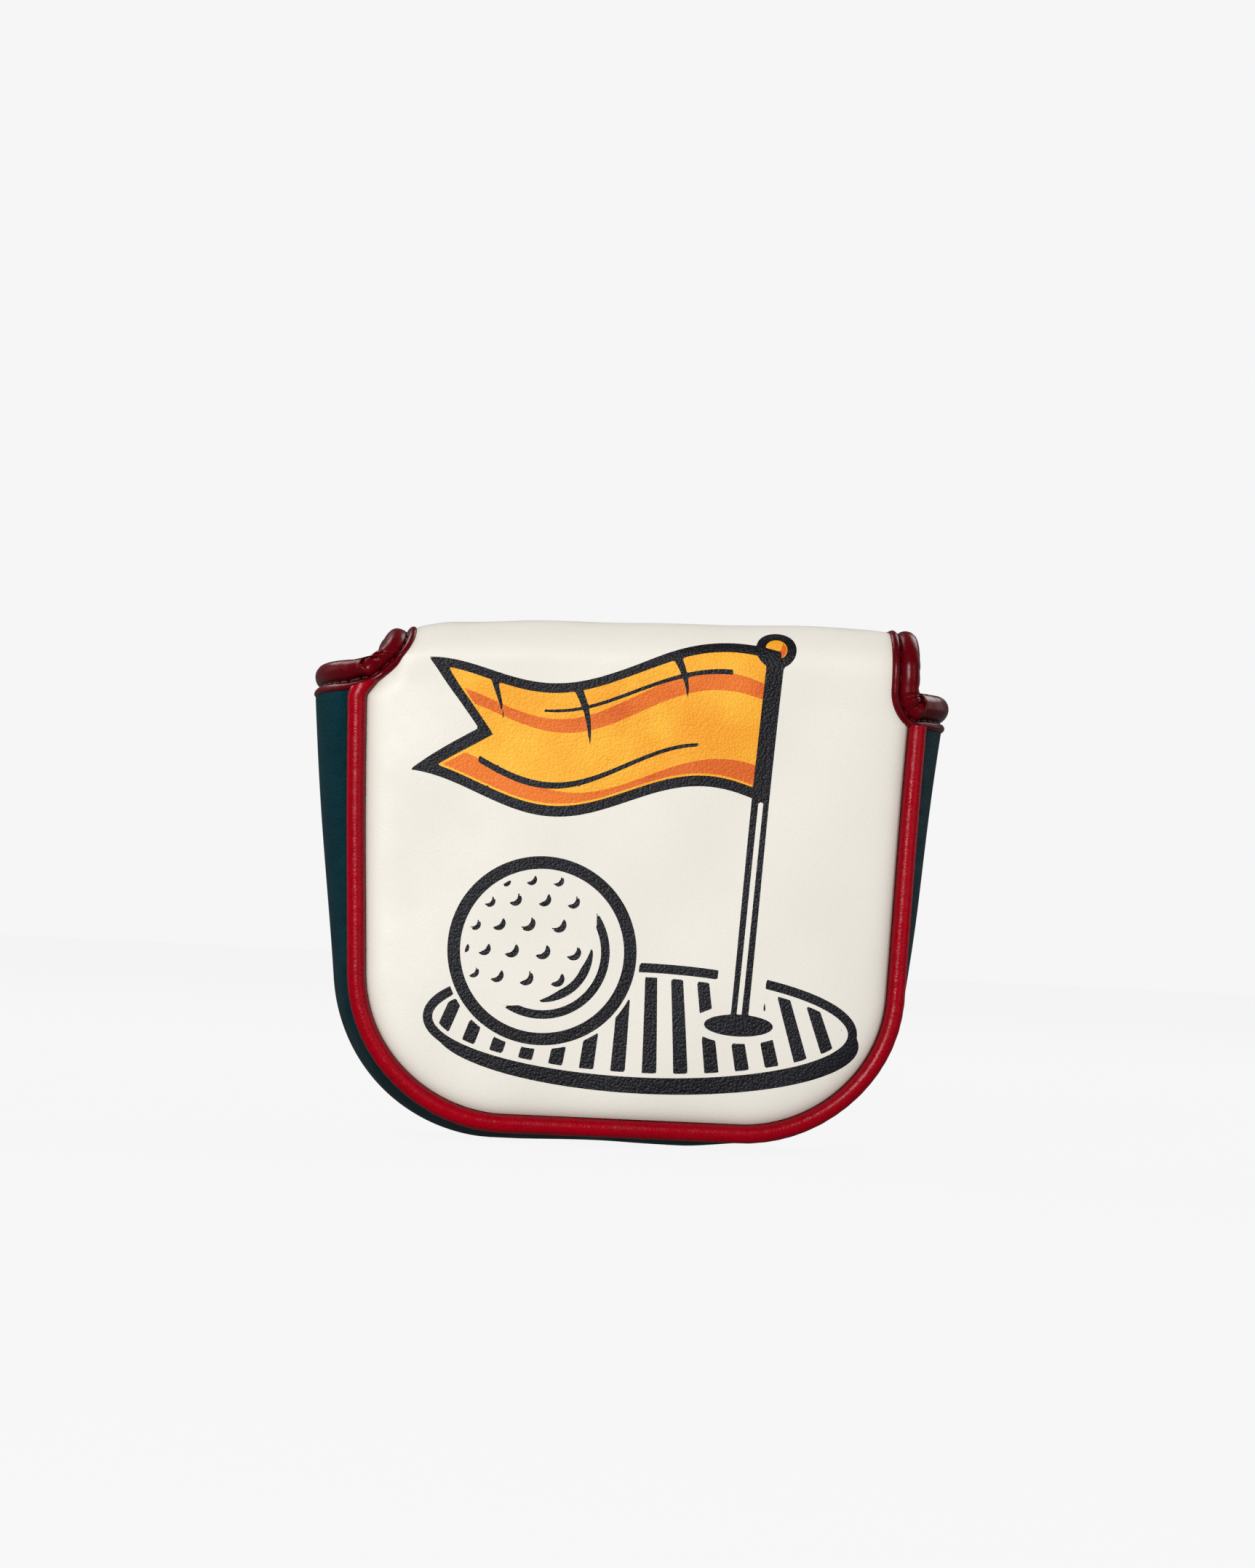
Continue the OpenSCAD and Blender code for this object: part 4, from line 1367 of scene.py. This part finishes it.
# The floor mostly glows, like a light table, so that it stays as pale as the backdrop with only a faint
# shadow. Both light the cover less than they look.
FLOOR_SIZE = 12.0
FLOOR_GAP = 0.0005
FLOOR_GREY = 0.03
FLOOR_GLOW = 0.90
FLOOR_BOUNCE = 0.10
BACKDROP = 0.92
ROOM = 0.10


def seen_and_felt(tree, seen, felt):
    """A strength that is one value to the camera and another to everything the light falls on."""
    camera_sees = tree.nodes.new("ShaderNodeLightPath").outputs["Is Camera Ray"]
    level = tree.nodes.new("ShaderNodeMapRange")
    level.inputs["To Min"].default_value = felt
    level.inputs["To Max"].default_value = seen
    tree.links.new(camera_sees, level.inputs["Value"])
    return level.outputs["Result"]


def make_stage():
    """The pale floor and the backdrop."""
    floor_look = Look("floor")
    floor_look.set(Base_Color=(FLOOR_GREY, FLOOR_GREY, FLOOR_GREY, 1))
    floor_look.set(Roughness=1.0, Specular_IOR_Level=0.0)
    floor_look.set(Emission_Color=(1, 1, 1, 1))
    floor_look.set(Emission_Strength=seen_and_felt(floor_look.tree, FLOOR_GLOW, FLOOR_BOUNCE))
    bpy.ops.mesh.primitive_plane_add(size=FLOOR_SIZE, location=(0, 0, -FLOOR_GAP))
    floor = bpy.context.object
    floor.name = "floor"
    floor.data.materials.append(floor_look.material)
    world = bpy.data.worlds.new("studio")
    bpy.context.scene.world = world
    world.use_nodes = True
    tree = world.node_tree
    sky = tree.nodes["Background"]
    sky.inputs["Color"].default_value = (1, 1, 1, 1)
    tree.links.new(seen_and_felt(tree, BACKDROP, ROOM), sky.inputs["Strength"])


def area_light(name, place, size, power):
    """A soft square light, aimed at the middle of the cover."""
    data = bpy.data.lights.new(name, "AREA")
    data.size = size
    data.energy = power
    lamp = bpy.data.objects.new(name, data)
    bpy.context.scene.collection.objects.link(lamp)
    lamp.location = place
    aim = Vector((0, 0, FLAP_TOP / 2 * MM)) - lamp.location
    lamp.rotation_euler = aim.to_track_quat("-Z", "Y").to_euler()
    return lamp


# The camera looks past the cover's middle by the AIM distances. Lens in millimetres, distances in metres.
CAMERA_LENS = 100.0
CAMERA_DISTANCE = 0.96
CAMERA_TURN = math.radians(5.5)
CAMERA_RISE = math.radians(-2.0)
CAMERA_ROLL = math.radians(2.8)
AIM_ABOVE = 0.0213
AIM_ASIDE = 0.0013


def make_camera():
    """A camera in front, a little to the left and below level, tipped by the roll."""
    data = bpy.data.cameras.new("camera")
    data.lens = CAMERA_LENS
    data.sensor_width = 36.0
    camera = bpy.data.objects.new("camera", data)
    bpy.context.scene.collection.objects.link(camera)
    away = Vector((
        -math.sin(CAMERA_TURN) * math.cos(CAMERA_RISE),
        -math.cos(CAMERA_TURN) * math.cos(CAMERA_RISE),
        math.sin(CAMERA_RISE),
    ))
    middle = Vector((0, 0, FLAP_TOP / 2 * MM))
    facing = (-away).to_track_quat("-Z", "Y")
    roll = Quaternion((0, 0, 1), CAMERA_ROLL)
    camera.rotation_mode = "QUATERNION"
    camera.rotation_quaternion = facing @ roll
    up = camera.rotation_quaternion @ Vector((0, 1, 0))
    right = camera.rotation_quaternion @ Vector((1, 0, 0))
    camera.location = middle + away * CAMERA_DISTANCE + up * AIM_ABOVE + right * AIM_ASIDE
    bpy.context.scene.camera = camera


def make_light():
    """One main light at the front left, a weak one at the right, and soft ones behind for the edges."""
    for name, place, size, power in (
        ("key", (-0.55, -1.6, 0.5), 0.6, 28.5),
        ("fill", (1.2, -1.4, 0.3), 1.2, 4.5),
        ("rim_left", (-1.4, 0.7, 0.3), 0.8, 1),
        ("rim_right", (1.4, 0.7, 0.3), 0.8, 1.4),
        ("rear_left", (-1.0, 0.9, 1.2), 0.9, 12),
        ("rear_right", (1.0, 0.9, 1.2), 0.9, 12),
    ):
        area_light(name, place, size, power)
    view = bpy.context.scene.view_settings
    view.view_transform = "Standard"
    view.look = "None"


make_sheets()
make_pouch()
make_binding()
make_print()
finish_cad_parts()
make_stage()
make_light()
make_camera()
